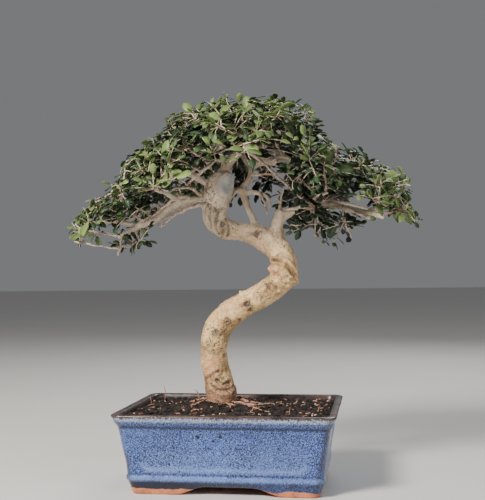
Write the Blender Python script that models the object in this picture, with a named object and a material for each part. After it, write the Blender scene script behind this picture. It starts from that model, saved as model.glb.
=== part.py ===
"""Chinese elm bonsai in its glazed pot, at real size, in metres with +Z up.

The pot, the soil, the drainage screens, the woody tree and each leafy spray are
separate closed solids. Lengths below are in millimetres and become metres when a
mesh is made. The pot's middle is at x = 0, y = 0 and its feet stand on z = 0,
then everything is shifted so that the whole plant's box is centred.
"""

import math
import random

import bpy
import bmesh
from mathutils import Matrix, Vector, noise
from mathutils.bvhtree import BVHTree

MM = 0.001
SHIFT_X = -8.7
SHIFT_Y = 2.3
SEAT_GAP = 0.3
SEED = 41

# Pot: outer sizes, from the rim down
RIM_LENGTH = 200.0
RIM_DEPTH = 156.0
POT_HEIGHT = 72.0
LIP_HEIGHT = 11.0
LIP_OVERHANG = 6.6
LIP_WIDTH = 7.0
GROOVE_HEIGHT = 2.5
BODY_TAPER = 7.0
BEAD_HEIGHT = 4.6
BEAD_PROUD = 1.5
FOOT_HEIGHT = 10.0
FOOT_INSET = 15.0
FOOT_WIDTH = 10.0
FLOOR_THICKNESS = 7.0
CORNER_RADIUS = 9.0
CORNER_STEPS = 3
PANEL_MARGIN = 6.5
PANEL_DEPTH = 0.9
ARCH_LENGTH = 54.0
ARCH_DEPTH = 46.0
ARCH_HEIGHT = 8.0
DRAIN_SPACING = 78.0
DRAIN_RADIUS = 8.0

# Soil and screens
SOIL_BELOW_RIM = 4.5
MOUND_HEIGHT = 8.5
MOUND_SPREAD = 46.0
SOIL_RINGS = (0.3, 0.55, 0.78, 0.93)
SCREEN_SIDE = 26.0
SCREEN_THICKNESS = 1.0
SCREEN_CELLS = 3

# Trunk: the middle line and the radius, from the buried root plug to the cut top
PLUG_RADIUS = 13.9
PLUG_BOTTOM = 44.0
TRUNK_X = -12.0
TRUNK_STEP = 8.6
TRUNK_SIDES = 12
TRUNK = (
    (-12.0, 0, 82, 13.9), (-14.2, 0, 93, 13.3), (-17.0, 0, 104, 12.9),
    (-19.0, -1, 119, 12.4), (-17.9, -2, 134, 12.8), (-12.6, -3, 147, 13.3),
    (-2.0, -5, 158, 13.9), (13.0, -7, 168, 14.2), (31.0, -8, 178, 13.8),
    (44.0, -8, 187, 13.6), (50.0, -7, 199, 12.1), (50.0, -5, 209, 11.8),
    (44.0, -2, 219, 12.2), (33.0, 0, 227, 11.6), (20.0, 2, 233, 10.2),
    (5.0, 4, 236, 8.6), (-7.0, 4, 239, 9.8), (-15.5, 3, 246, 11.3),
    (-17.5, 1, 255, 12.0), (-15.5, 0, 265, 12.8), (-12.7, 0, 277, 13.6),
    (-10.5, 0, 286, 11.6), (-9.5, 0, 291, 8.4),
)
# Knots, folds and flares of the bark: middle, reach and height
KNOTS = (
    (27, -9, 194, 8, 3.0), (6, -12, 157, 6, 1.6), (-12, -9, 236, 9, 2.4),
    (-2, -8, 287, 8, 3.4), (0, -8, 80, 9, 2.0), (60, -9, 184, 8, 2.0),
    (14, -12, 238, 7, 1.4), (-24, 8, 276, 9, 2.6), (-26, 6, 84, 10, 2.4),
)

# Limbs that the crown hangs on: points and the radius at each
LIMBS = {
    "left": ((-16, 0, 266, 7.0), (-28, -2, 265, 6.2), (-42, -6, 265, 5.2),
             (-58, -12, 259, 4.5), (-68, -17, 250, 3.6), (-85, -25, 241, 3.0),
             (-103, -34, 230, 2.2)),
    "left_end": ((-86, -25, 240, 2.6), (-105, -28, 246, 2.2), (-126, -30, 245, 1.6)),
    "left_back": ((-14, 2, 262, 5.0), (-32, 22, 268, 4.0), (-54, 42, 270, 3.0),
                  (-78, 58, 266, 2.4), (-100, 66, 258, 1.8)),
    "left_front": ((-48, -8, 264, 3.2), (-56, -30, 270, 2.6), (-62, -54, 272, 1.8)),
    "left_middle": ((-15, 0, 277, 4.4), (-34, -8, 288, 3.6), (-58, -14, 294, 2.8),
                    (-84, -14, 290, 2.2), (-108, -12, 280, 1.6)),
    "stub": ((42, 1, 226, 7.6), (42, 0, 238, 6.2), (45, 0, 247, 5.4), (48, 0, 254, 5.0)),
    "right": ((45, 0, 247, 4.2), (57, 0, 253, 3.8), (75, -4, 258, 3.4), (95, -8, 259, 3.0),
              (114, -12, 253, 2.9), (143, -20, 246, 2.5)),
    "right_end": ((126, -15, 249, 2.6), (142, -10, 257, 2.1), (156, -6, 262, 1.6)),
    "right_back": ((45, 1, 245, 4.4), (60, 20, 258, 3.4), (84, 38, 266, 2.6),
                   (110, 50, 264, 2.0), (130, 54, 258, 1.6)),
    "right_front": ((72, -3, 257, 3.0), (82, -28, 264, 2.4), (94, -52, 266, 1.7)),
    "riser": ((30, 1, 228, 6.4), (22, 4, 241, 5.0), (18, 8, 250, 4.3), (13, 13, 260, 3.9),
              (8, 17, 272, 4.2), (8, 18, 279, 4.2), (14, 20, 288, 3.7), (16, 22, 297, 3.9),
              (24, 20, 303, 3.6), (38, 12, 302, 3.4), (53, 5, 299, 3.3)),
    "riser_side": ((9, 17, 275, 3.0), (24, 12, 273, 2.4), (37, 8, 266, 1.7)),
    "bridge": ((8, 18, 278, 3.4), (0, 9, 275, 2.8), (-10, 1, 273, 2.8)),
    "leader": ((-12, 0, 282, 7.6), (-7, 3, 297, 6.0), (6, 4, 311, 4.6), (20, 1, 321, 3.6)),
    "front_left": ((7, 3, 312, 3.4), (4, -12, 320, 3.2), (-6, -24, 314, 2.8),
                   (-28, -36, 298, 1.9)),
    "top_left": ((-5, 3, 300, 4.0), (-22, 6, 313, 3.2), (-46, 4, 320, 2.4), (-74, -2, 314, 1.7)),
    "top_back": ((-7, 3, 297, 4.0), (-18, 24, 306, 3.0), (-34, 44, 308, 2.2), (-50, 58, 302, 1.7)),
    "top_right": ((18, 1, 320, 3.4), (38, -6, 328, 2.6), (62, -12, 326, 1.8)),
    "back_middle": ((0, 5, 305, 3.6), (2, 28, 316, 2.8), (6, 54, 308, 2.2), (10, 76, 292, 1.6)),
    "right_behind": ((14, 3, 317, 3.4), (28, 24, 320, 2.6), (48, 44, 312, 2.0), (70, 54, 300, 1.6)),
    "top_front": ((14, 2, 317, 3.2), (20, -24, 322, 2.4), (26, -48, 316, 1.8)),
    "right_middle": ((18, 22, 301, 3.4), (42, 18, 307, 2.8), (68, 8, 300, 2.2), (94, 0, 290, 1.7)),
    "apex": ((19, 1, 320, 3.0), (22, 4, 334, 2.2), (19, 6, 345, 1.5)),
}
LIMB_SIDES = 5
LIMB_STEP = 14.0
START_STEP = 9.0

# Fine roots lying on the soil beside the trunk: points in plan and the radius at each
ROOTS = (
    ((-4, -6, 2.0), (6, -14, 1.6), (16, -21, 1.3), (28, -27, 1.0)),
    ((-3, 2, 2.2), (9, -2, 1.7), (20, 1, 1.3), (30, 6, 1.0)),
    ((-22, -6, 2.2), (-32, -12, 1.6), (-40, -22, 1.1)),
)
ROOT_SIDES = 5

# Crown outline seen from the front: x, top and bottom
CROWN = (
    (-166, 240, 232), (-151, 262, 226), (-136, 276, 224), (-105, 310, 232), (-80, 327, 244),
    (-65, 342, 250), (-45, 353, 262), (-21, 360, 276), (18, 361, 280), (50, 360, 262),
    (70, 350, 240), (85, 334, 232), (99, 316, 232), (120, 302, 238), (140, 290, 242),
    (160, 282, 244), (178, 252, 244),
)
CROWN_MIDDLE = Vector((8.0, 0.0, 246.0))
CROWN_HALF_LENGTH = 168.0
CROWN_HALF_DEPTH = 108.0
FRONT_FLOOR = 292.0
FRONT_OPENING = 44.0
GOLDEN_ANGLE = math.pi * (3 - math.sqrt(5))
SHELL_SPRAYS = 29
SHELL_REACH = 0.97
SHELL_INSET = 13.0

# Shoots that stand out of the outline: tip of the stem and how far it is leafy
SHOOTS = (
    ((-150, -38, 240), 0.8), ((-146, -20, 262), 0.6), ((-92, -30, 222), 0.5),
    ((165, -24, 250), 0.8), ((156, -6, 280), 0.6), ((118, 0, 302), 0.5),
    ((102, -14, 232), 0.6), ((-38, -46, 322), 1.0), ((-70, -48, 300), 1.0),
    ((4, -52, 326), 1.0), ((-100, -44, 272), 1.0), ((62, -40, 286), 1.0),
    ((76, -22, 240), 0.6), ((-128, -46, 252), 1.0),
)

# Leaves and twigs of a spray
LEAF_LENGTH = 16.0
LEAF_WIDTH = 9.2
LEAF_FOLD = 0.14
LEAF_CURL = 0.15
BLADE_THICKNESS = 1.2
BLADE_FOOT = 1.6
BLADE_ROOM = 0.65
BARE_FOOT = 2.0
# The corner of a tube with three or four sides that lies opposite its first one
RIGHT_CORNER = {3: 1, 4: 2}
# Half of a blade's toothed edge: how far along and how wide, as shares
LEAF_EDGE = ((0.25, 0.66), (0.53, 1.0), (0.59, 0.80))
STEM_RADII = (1.5, 0.75)
TWIG_RADII = (0.85, 0.6)
TWIG_LENGTH = 21.0
TWIG_PLACES = (0.42, 0.62, 0.80)
STEM_LEAVES = 2
CLEARANCE = 0.45
WELD = 0.002
SHORTEST_STEM = 16.0
STARTS_TRIED = 8
BENDS_TRIED = 9

COLOURS = {
    "pot": ((0.075, 0.135, 0.30), 0.22),
    "soil": ((0.030, 0.020, 0.014), 0.95),
    "screen": ((0.02, 0.02, 0.02), 0.6),
    "trunk": ((0.56, 0.41, 0.26), 0.75),
    "spray": ((0.075, 0.15, 0.035), 0.5),
}


def clear_scene():
    for obj in list(bpy.data.objects):
        bpy.data.objects.remove(obj, do_unlink=True)


def make_material(name):
    colour, roughness = COLOURS[name]
    material = bpy.data.materials.new(name)
    material.use_nodes = True
    shader = material.node_tree.nodes["Principled BSDF"]
    shader.inputs["Base Color"].default_value = (*colour, 1.0)
    shader.inputs["Roughness"].default_value = roughness
    shader.inputs["Metallic"].default_value = 0.0
    return material


def make_object(name, points, faces, collection=None):
    """An object from points in millimetres and faces, with its normals facing out."""
    mesh = bpy.data.meshes.new(name)
    mesh.from_pydata([Vector(p) * MM for p in points], [], faces)
    bm = bmesh.new()
    bm.from_mesh(mesh)
    bmesh.ops.recalc_face_normals(bm, faces=bm.faces)
    bm.to_mesh(mesh)
    bm.free()
    obj = bpy.data.objects.new(name, mesh)
    (collection or bpy.context.scene.collection).objects.link(obj)
    return obj


def take_evaluated_mesh(obj):
    """Applies the object's modifiers."""
    bpy.context.view_layer.update()
    graph = bpy.context.evaluated_depsgraph_get()
    mesh = bpy.data.meshes.new_from_object(obj.evaluated_get(graph))
    obj.modifiers.clear()
    obj.data = mesh


def cut_away(obj, cutters):
    """Takes the cutters out of the object."""
    for cutter in cutters:
        modifier = obj.modifiers.new("cut", "BOOLEAN")
        modifier.operation = "DIFFERENCE"
        modifier.solver = "EXACT"
        modifier.object = cutter
    take_evaluated_mesh(obj)
    for cutter in cutters:
        bpy.data.objects.remove(cutter, do_unlink=True)


def keep_outer_body(obj):
    """Leaves the largest connected surface, facing out, so no hollow is sealed inside."""
    bm = bmesh.new()
    bm.from_mesh(obj.data)
    bmesh.ops.remove_doubles(bm, verts=bm.verts, dist=WELD * MM)
    bmesh.ops.triangulate(bm, faces=bm.faces)
    left, bodies = set(bm.faces), []
    while left:
        body, front = set(), [left.pop()]
        while front:
            face = front.pop()
            body.add(face)
            joints = [edge for edge in face.edges if len(edge.link_faces) == 2]
            near = {other for edge in joints for other in edge.link_faces} & left
            left -= near
            front += near
        bodies.append(body)
    outer = max(bodies, key=lambda body: sum(face.calc_area() for face in body))
    spare = [face for body in bodies if body is not outer for face in body]
    bmesh.ops.delete(bm, geom=spare, context="FACES")
    if bm.calc_volume(signed=True) < 0:
        bmesh.ops.reverse_faces(bm, faces=bm.faces)
    bm.to_mesh(obj.data)
    bm.free()


def fuse(name, shapes):
    """One object from many closed shapes, each given as points and faces."""
    body = make_object(name, *shapes[0])
    if len(shapes) == 1:
        return body
    others = bpy.data.collections.new(name + "_parts")
    bpy.context.scene.collection.children.link(others)
    for points, faces in shapes[1:]:
        make_object(name + "_part", points, faces, others)
    modifier = body.modifiers.new("union", "BOOLEAN")
    modifier.operation = "UNION"
    modifier.solver = "MANIFOLD"
    modifier.operand_type = "COLLECTION"
    modifier.collection = others
    take_evaluated_mesh(body)
    for obj in list(others.objects):
        bpy.data.objects.remove(obj, do_unlink=True)
    bpy.data.collections.remove(others)
    keep_outer_body(body)
    return body


def finish(obj, material, smooth_angle=None):
    obj.data.materials.clear()
    obj.data.materials.append(material)
    if smooth_angle is not None:
        obj.data.shade_smooth()
        obj.data.set_sharp_from_angle(angle=math.radians(smooth_angle))
    return obj


def smooth_curve(knots, step):
    """Points about a step apart on a smooth curve through the knots, of any dimension."""
    knots = [Vector(k) for k in knots]
    knots = [2 * knots[0] - knots[1], *knots, 2 * knots[-1] - knots[-2]]
    points = []
    for a, b, c, d in zip(knots, knots[1:], knots[2:], knots[3:]):
        count = max(1, round((c - b).length / step))
        for i in range(count):
            t = i / count
            points.append(
                0.5 * (2 * b + (c - a) * t + (2 * a - 5 * b + 4 * c - d) * t * t
                       + (3 * b - 3 * c + d - a) * t * t * t)
            )
    points.append(knots[-2])
    return points


def frames_along(path, up=None):
    """Two cross directions at each point, turning as little as possible; the second near up."""
    tangents = []
    for i in range(len(path)):
        ahead = path[min(i + 1, len(path) - 1)] - path[max(i - 1, 0)]
        tangents.append(ahead.normalized())
    side = up.cross(tangents[0]) if up else tangents[0].orthogonal()
    side.normalize()
    frames = []
    for tangent in tangents:
        side = (side - tangent * side.dot(tangent)).normalized()
        frames.append((side, tangent.cross(side)))
    return frames


def tube(path, radii, sides, up=None):
    """A closed tube along a path, as points and faces. Its first corner is to the left of up."""
    points, faces = [], []
    first_turn = math.pi / 6 if sides == 3 else 0.0
    for centre, radius, (side, other) in zip(path, radii, frames_along(path, up)):
        for k in range(sides):
            turn = first_turn + 2 * math.pi * k / sides
            points.append(centre + radius * (math.cos(turn) * side + math.sin(turn) * other))
    for i in range(len(path) - 1):
        for k in range(sides):
            a, b = i * sides + k, i * sides + (k + 1) % sides
            faces.append((a, b, b + sides, a + sides))
    faces.append(tuple(range(sides))[::-1])
    last = (len(path) - 1) * sides
    faces.append(tuple(range(last, last + sides)))
    return points, faces


def tapered(path, start, end, sides, up=None):
    count = len(path) - 1
    return tube(path, [start + (end - start) * i / count for i in range(count + 1)], sides, up)


def rounded_ring(half_length, half_depth, corner, z):
    """Points round a rectangle with round corners."""
    ring = []
    for k, (sx, sy) in enumerate(((1, 1), (-1, 1), (-1, -1), (1, -1))):
        for step in range(CORNER_STEPS + 1):
            turn = math.pi / 2 * (k + step / CORNER_STEPS)
            ring.append(Vector((
                sx * (half_length - corner) + corner * math.cos(turn),
                sy * (half_depth - corner) + corner * math.sin(turn),
                z,
            )))
    return ring


def loft(rings):
    """A closed solid through rings of equal count, with its first and last ring filled."""
    count = len(rings[0])
    points = [p for ring in rings for p in ring]
    faces = []
    for i in range(len(rings) - 1):
        for k in range(count):
            a, b = i * count + k, i * count + (k + 1) % count
            faces.append((a, b, b + count, a + count))
    faces.append(tuple(range(count)))
    last = (len(rings) - 1) * count
    faces.append(tuple(range(last, last + count)))
    return points, faces


def pot_inner_ring(z, gap=0.0):
    """The inside of the pot at a height, drawn in by a gap."""
    share = (z - FOOT_HEIGHT) / (POT_HEIGHT - FOOT_HEIGHT)
    draw_in = LIP_WIDTH + gap + (1 - share) * 11.0
    return rounded_ring(
        RIM_LENGTH / 2 - draw_in, RIM_DEPTH / 2 - draw_in, CORNER_RADIUS - 2 - gap, z
    )


def pot_floor():
    return ARCH_HEIGHT + FLOOR_THICKNESS


def pot_outer_profile():
    """How far each outer ring stands in from the rim, and its height, from the top down."""
    body_top = POT_HEIGHT - LIP_HEIGHT - GROOVE_HEIGHT
    body_bottom = FOOT_HEIGHT + BEAD_HEIGHT
    return (
        (1.2, POT_HEIGHT), (0.0, POT_HEIGHT - 2.0), (2.4, POT_HEIGHT - LIP_HEIGHT),
        (LIP_OVERHANG + 1.2, POT_HEIGHT - LIP_HEIGHT), (LIP_OVERHANG + 1.2, body_top + 0.6),
        (LIP_OVERHANG, body_top), (LIP_OVERHANG + BODY_TAPER, body_bottom),
        (FOOT_INSET - BEAD_PROUD - 0.9, body_bottom - BEAD_HEIGHT / 2),
        (FOOT_INSET - 0.8, FOOT_HEIGHT), (FOOT_INSET, 0.0),
    )


def arch_cutter(half_width, half_run, turned):
    """A low arch through the foot ring: a trapezoid with eased shoulders."""
    outline = (
        (-half_width, -5.0), (half_width, -5.0), (half_width, 0.0),
        (half_width - 2.5, ARCH_HEIGHT - 3), (half_width - 7, ARCH_HEIGHT),
        (7 - half_width, ARCH_HEIGHT), (2.5 - half_width, ARCH_HEIGHT - 3), (-half_width, 0.0),
    )
    rings = []
    for run in (-half_run, half_run):
        rings.append([Vector((run, s, z)) if turned else Vector((s, run, z)) for s, z in outline])
    return loft(rings)


def drain_cutter(x):
    path = [Vector((x, 0, 0)), Vector((x, 0, pot_floor() + 5))]
    return tube(path, (DRAIN_RADIUS, DRAIN_RADIUS), 14)


def press_panels(obj):
    """Sinks a panel into each of the four sides of the body."""
    bm = bmesh.new()
    bm.from_mesh(obj.data)
    bm.faces.ensure_lookup_table()
    sides = []
    for face in bm.faces:
        middle = face.calc_center_median() / MM
        flat = abs(face.normal.z) < 0.35
        if flat and face.calc_area() > 3000 * MM * MM and middle.z > 30:
            if max(abs(middle.x) / RIM_LENGTH, abs(middle.y) / RIM_DEPTH) > 0.44:
                sides.append(face)
    bmesh.ops.inset_individual(bm, faces=sides, thickness=PANEL_MARGIN * MM)
    bmesh.ops.inset_individual(bm, faces=sides, thickness=1.4 * MM, depth=-PANEL_DEPTH * MM)
    bm.to_mesh(obj.data)
    bm.free()


def make_pot(material):
    rings = [
        rounded_ring(RIM_LENGTH / 2 - i, RIM_DEPTH / 2 - i, max(CORNER_RADIUS - i * 0.35, 3), z)
        for i, z in reversed(pot_outer_profile())
    ]
    inner_foot = FOOT_INSET + FOOT_WIDTH
    recess = [
        rounded_ring(RIM_LENGTH / 2 - inner_foot, RIM_DEPTH / 2 - inner_foot, 4, z)
        for z in (ARCH_HEIGHT, 0.0)
    ]
    inside = [pot_inner_ring(POT_HEIGHT), pot_inner_ring(POT_HEIGHT - 20),
              pot_inner_ring(pot_floor())]
    obj = make_object("pot", *loft(recess + rings + inside))
    press_panels(obj)
    cutters = [
        make_object("arch", *arch_cutter(ARCH_LENGTH / 2, RIM_DEPTH, False)),
        make_object("arch", *arch_cutter(ARCH_DEPTH / 2, RIM_LENGTH, True)),
    ]
    for side in (-1, 1):
        cutters.append(make_object("drain", *drain_cutter(side * DRAIN_SPACING / 2)))
    cut_away(obj, cutters)
    return finish(obj, material, 30)


def make_screens(material):
    """A square plastic mesh over each drain hole, under the soil."""
    screens = []
    for name, side in (("drainage_screen_left", -1), ("drainage_screen_right", 1)):
        bm = bmesh.new()
        bmesh.ops.create_grid(
            bm, x_segments=SCREEN_CELLS, y_segments=SCREEN_CELLS, size=SCREEN_SIDE / 2 * MM
        )
        pitch = SCREEN_SIDE / SCREEN_CELLS * MM
        holes = [
            face for face in bm.faces
            if all(round(c / pitch) % 2 == 1 for c in face.calc_center_median().xy)
        ]
        bmesh.ops.delete(bm, geom=holes, context="FACES")
        bmesh.ops.solidify(bm, geom=bm.faces, thickness=-SCREEN_THICKNESS * MM)
        x = side * DRAIN_SPACING / 2
        z = pot_floor() + SEAT_GAP
        low = min(v.co.z for v in bm.verts)
        bmesh.ops.translate(bm, verts=bm.verts, vec=Vector((x, 0, z)) * MM - Vector((0, 0, low)))
        bmesh.ops.recalc_face_normals(bm, faces=bm.faces)
        mesh = bpy.data.meshes.new(name)
        bm.to_mesh(mesh)
        bm.free()
        obj = bpy.data.objects.new(name, mesh)
        bpy.context.scene.collection.objects.link(obj)
        screens.append(finish(obj, material))
    return screens


def soil_height(x, y):
    """The soil's surface: a low mound at the trunk with gentle lumps."""
    away = math.hypot(x - TRUNK_X, y)
    mound = MOUND_HEIGHT * math.exp(-((away / MOUND_SPREAD) ** 2))
    lumps = 1.6 * noise.noise(Vector((x * 0.05, y * 0.05, 3.0)))
    return POT_HEIGHT - SOIL_BELOW_RIM + mound + lumps


def make_soil(material):
    """A block that fills the pot, with a plain round hole for the buried plug."""
    bottom = pot_floor() + 2 * SEAT_GAP + SCREEN_THICKNESS
    edge = pot_inner_ring(POT_HEIGHT - SOIL_BELOW_RIM, SEAT_GAP)
    rings = [pot_inner_ring(bottom, SEAT_GAP), edge]
    centre = Vector((TRUNK_X, 0, 0))
    for share in reversed(SOIL_RINGS):
        ring = []
        for p in edge:
            x = centre.x + (p.x - centre.x) * share
            y = p.y * share
            ring.append(Vector((x, y, soil_height(x, y))))
        rings.append(ring)
    points, faces = loft(rings)
    obj = make_object("soil", points, faces)
    hole_radius = (PLUG_RADIUS + SEAT_GAP) / math.cos(math.pi / TRUNK_SIDES)
    hole_path = [Vector((TRUNK_X, 0, PLUG_BOTTOM - SEAT_GAP)), Vector((TRUNK_X, 0, 110))]
    hole = make_object("hole", *tube(hole_path, (hole_radius, hole_radius), TRUNK_SIDES))
    cut_away(obj, [hole])
    return finish(obj, material, 40)


def knotted(points):
    """Pushes the bark out over each knot, away from the wood's middle line."""
    axis = [Vector(p[:3]) for p in smooth_curve(TRUNK, 4)]
    for i, point in enumerate(points):
        for x, y, z, reach, height in KNOTS:
            near = (point - Vector((x, y, z))).length / reach
            if near < 1.6:
                middle = min(axis, key=lambda a: (a - point).length)
                push = height * math.exp(-1.6 * near * near)
                point = point + (point - middle).normalized() * push
        points[i] = point
    return points


def trunk_shape():
    path = smooth_curve(TRUNK, TRUNK_STEP)
    plug = [Vector((TRUNK_X, 0, z, PLUG_RADIUS)) for z in (PLUG_BOTTOM, POT_HEIGHT - 4)]
    path = plug + path
    points, faces = tube([p.to_3d() for p in path], [p[3] for p in path], TRUNK_SIDES)
    buried = 3 * TRUNK_SIDES
    return points[:buried] + knotted(points[buried:]), faces


def limb_path(name):
    return smooth_curve(LIMBS[name], LIMB_STEP)


def root_shape(knots):
    flat = smooth_curve(knots, 8)
    path = []
    for x, y, radius in flat:
        path.append(Vector((x, y, soil_height(x, y) + radius + 0.8)))
    return tube(path, [p[2] for p in flat], ROOT_SIDES)


def make_trunk(material):
    shapes = [trunk_shape()]
    for name in LIMBS:
        path = limb_path(name)
        shapes.append(tube([p.to_3d() for p in path], [p[3] for p in path], LIMB_SIDES))
    shapes += [root_shape(knots) for knots in ROOTS]
    return finish(fuse("trunk", shapes), material, 50)


def crown_heights(x):
    """Top and bottom of the crown's outline at x."""
    for (x0, top0, low0), (x1, top1, low1) in zip(CROWN, CROWN[1:]):
        if x <= x1:
            share = max(0.0, (x - x0) / (x1 - x0))
            return top0 + (top1 - top0) * share, low0 + (low1 - low0) * share
    return CROWN[-1][1:]


def crown_surface(plan_x, plan_y):
    """A point of the dome above a place in the unit circle of its plan."""
    x = CROWN_MIDDLE.x + plan_x * CROWN_HALF_LENGTH
    half_depth = CROWN_HALF_DEPTH * math.sqrt(max(0.0, 1 - plan_x**2)) ** 0.8
    y = plan_y / math.sqrt(max(1e-6, 1 - plan_x**2)) * half_depth
    top, low = crown_heights(x)
    fall = math.sqrt(max(0.0, 1 - (y / max(half_depth, 1.0)) ** 2))
    if y < 0:
        middle = math.exp(-(((x + 2) / FRONT_OPENING) ** 2))
        low = low + (FRONT_FLOOR - low) * middle * min(1.0, -y / 30)
    return Vector((x, y, low + (top - low) * fall))


def spray_tips():
    """The tip of each spray's stem and the share of its twigs that it carries."""
    tips = []
    for i in range(SHELL_SPRAYS):
        reach = SHELL_REACH * math.sqrt((i + 0.5) / SHELL_SPRAYS)
        turn = i * GOLDEN_ANGLE
        point = crown_surface(reach * math.cos(turn), reach * math.sin(turn))
        inward = (CROWN_MIDDLE - point).normalized() * SHELL_INSET
        tips.append((point + inward, 1.0))
    return tips + [(Vector(tip), share) for tip, share in SHOOTS]


def limb_points():
    """Places on the limbs where a stem may start: place, direction and radius."""
    places = []
    for name in LIMBS:
        if name in ("bridge", "stub"):
            continue
        path = smooth_curve(LIMBS[name], START_STEP)
        for i in range(3, len(path)):
            ahead = (path[i] - path[i - 1]).to_3d().normalized()
            places.append((path[i].to_3d(), ahead, path[i][3]))
    return places


def starts_for(tip, places, used):
    """The limb places that a stem to this tip may grow from, most natural first."""
    ranked = []
    for k, (place, ahead, radius) in enumerate(places):
        reach = tip - place
        if k in used or reach.length < SHORTEST_STEM:
            continue
        cost = reach.length * (1.5 - 0.5 * reach.normalized().dot(ahead))
        cost += max(0.0, place.z - tip.z) * 0.7
        ranked.append((cost, k))
    return [k for _, k in sorted(ranked)[:STARTS_TRIED]]


def stem_path(start, ahead, tip, bend):
    """A gently curved stem from the middle of a limb to the tip."""
    reach = tip - start
    lead = (ahead * 0.35 + reach.normalized()).normalized()
    middle = start + lead * reach.length * 0.5 + Vector((0, 0, -2.0)) + bend
    return smooth_curve((start, middle, tip), max(8.0, reach.length / 4))


def seated(path, radius, wood):
    """The path shortened at its foot, so that its end stands just off the limb, or None."""
    ahead = (path[1] - path[0]).normalized()
    offset = radius
    while offset < radius + 3.5:
        foot = path[0] + ahead * offset
        ring = tube([foot, foot + ahead], (STEM_RADII[0],) * 2, 8)[0][:8]
        gap = min(wood.find_nearest(p)[3] for p in ring)
        if gap >= SEAT_GAP + 0.08:
            return [foot] + path[1:] if gap < 0.9 and (path[1] - foot).length > 2 else None
        offset += 0.15
    return None


def blade_rim(base, along, up, size):
    """The toothed edge of a blade, from its near side round the tip to its far side."""
    side = along.cross(up).normalized()
    up = side.cross(along).normalized()
    length, half = LEAF_LENGTH * size, LEAF_WIDTH * size / 2
    edge = [(t, w) for t, w in LEAF_EDGE] + [(1.0, 0.0)] + [(t, -w) for t, w in LEAF_EDGE[::-1]]
    return [
        base + along * (t * length) - side * (w * half)
        + up * (LEAF_FOLD * abs(w) * half - LEAF_CURL * length * t * t)
        for t, w in edge
    ]


def blade_room(base, along, up, size, bare):
    """The space that a blade needs past its bare foot, as two sheets just off its faces."""
    points, faces = [], []
    for lift in (BLADE_ROOM, -BLADE_ROOM):
        foot = base + along * bare
        rim = [p + up * lift for p in blade_rim(foot, along, up, size)]
        start = len(points)
        points += [foot + up * lift] + rim
        faces += [(start, start + k, start + k + 1) for k in range(1, len(rim))]
    return points, faces


def open_corner(points, faces, kin, corner, sides, ahead, spin):
    """Opens a tube's corner into a small diamond: its near, top, far and low points.

    kin gives the corner that each point of an earlier diamond came from.
    """
    place = points[corner]
    long, wide = ahead * BLADE_FOOT / 2, spin * BLADE_THICKNESS / 2
    near, top, far, low = range(len(points), len(points) + 4)
    points += [place - long, place + wide, place + long, place - wide]
    low_mate = corner - corner % sides + sides - 1
    for k, face in enumerate(faces):
        if corner not in face:
            continue
        at = face.index(corner)
        round_it = {kin.get(i, i) for i in face}
        along = near if corner - sides in round_it else far
        across = low if low_mate in round_it else top
        before = kin.get(face[at - 1], face[at - 1])
        pair = (along, across) if abs(before - corner) == sides else (across, along)
        faces[k] = face[:at] + pair + face[at + 1:]
    for i in (near, top, far, low):
        kin[i] = corner
    return near, top, far, low


def grow_blade(points, faces, foot, rim):
    """Adds a blade on a diamond foot: its two faces are fans that share the edge."""
    near, top, far, low = foot
    edge = [far, *range(len(points), len(points) + len(rim)), near]
    points += rim
    for a, b in zip(edge, edge[1:]):
        faces += [(top, a, b), (low, b, a)]


def grow_tip_blade(points, faces, sides, rim):
    """Adds a blade on the open end of a tube that has three or four corners."""
    faces.pop()
    end = [len(points) - sides + k for k in range(sides)]
    left, right, low = end[0], end[RIGHT_CORNER[sides]], end[-1]
    edge = [left, *range(len(points), len(points) + len(rim)), right]
    points += rim
    faces += [(low, b, a) for a, b in zip(edge, edge[1:])]
    if sides == 4:
        faces += [(end[1], a, b) for a, b in zip(edge, edge[1:])]
        return
    first, last = 0, len(edge) - 1
    while last - first > 1:
        faces.append((edge[first], edge[first + 1], edge[last]))
        first += 1
        if last - first > 1:
            faces.append((edge[first], edge[last - 1], edge[last]))
            last -= 1


class Crowd:
    """Shapes already placed, so that a new one can be kept clear of them."""

    def __init__(self):
        self.shapes = []

    def add(self, shape, owner):
        points, faces = shape
        middle = sum(points, Vector()) / len(points)
        radius = max((p - middle).length for p in points)
        self.shapes.append((BVHTree.FromPolygons(points, faces), middle, radius, owner))

    def touches(self, shape, owners_left_out=()):
        points, faces = shape
        middle = sum(points, Vector()) / len(points)
        radius = max((p - middle).length for p in points)
        tree = None
        for other, other_middle, other_radius, owner in self.shapes:
            if owner in owners_left_out:
                continue
            if (middle - other_middle).length > radius + other_radius:
                continue
            tree = tree or BVHTree.FromPolygons(points, faces)
            if tree.overlap(other):
                return True
        return False


def in_the_way(crowd, path, clear, radii, owners_left_out=()):
    """Whether something is near the path past its foot, or touches it anywhere."""
    swollen = tapered(clear, *(r + CLEARANCE for r in radii), 6)
    close = tapered(path, *(r + SEAT_GAP / 2 for r in radii), 6)
    return crowd.touches(swollen, owners_left_out) or crowd.touches(close, owners_left_out)


def place_stem(index, tip, places, used, crowd, wood):
    """The stem of a spray, bent clear of what is already there."""
    for k in starts_for(tip, places, used):
        start, ahead, radius = places[k]
        across = (tip - start).orthogonal().normalized()
        for attempt in range(BENDS_TRIED):
            turn = Matrix.Rotation(attempt * GOLDEN_ANGLE, 3, (tip - start).normalized())
            bend = turn @ across * 1.3 * attempt
            path = seated(stem_path(start, ahead, tip, bend), radius, wood)
            if not path:
                continue
            clear = [path[0].lerp(path[1], 0.12)] + path[1:]
            if not in_the_way(crowd, path, clear, STEM_RADII):
                used.add(k)
                crowd.add(tapered(path, *STEM_RADII, 4), ("stem", index))
                return path
    print("stem", index, "has no clear way")
    return None


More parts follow.
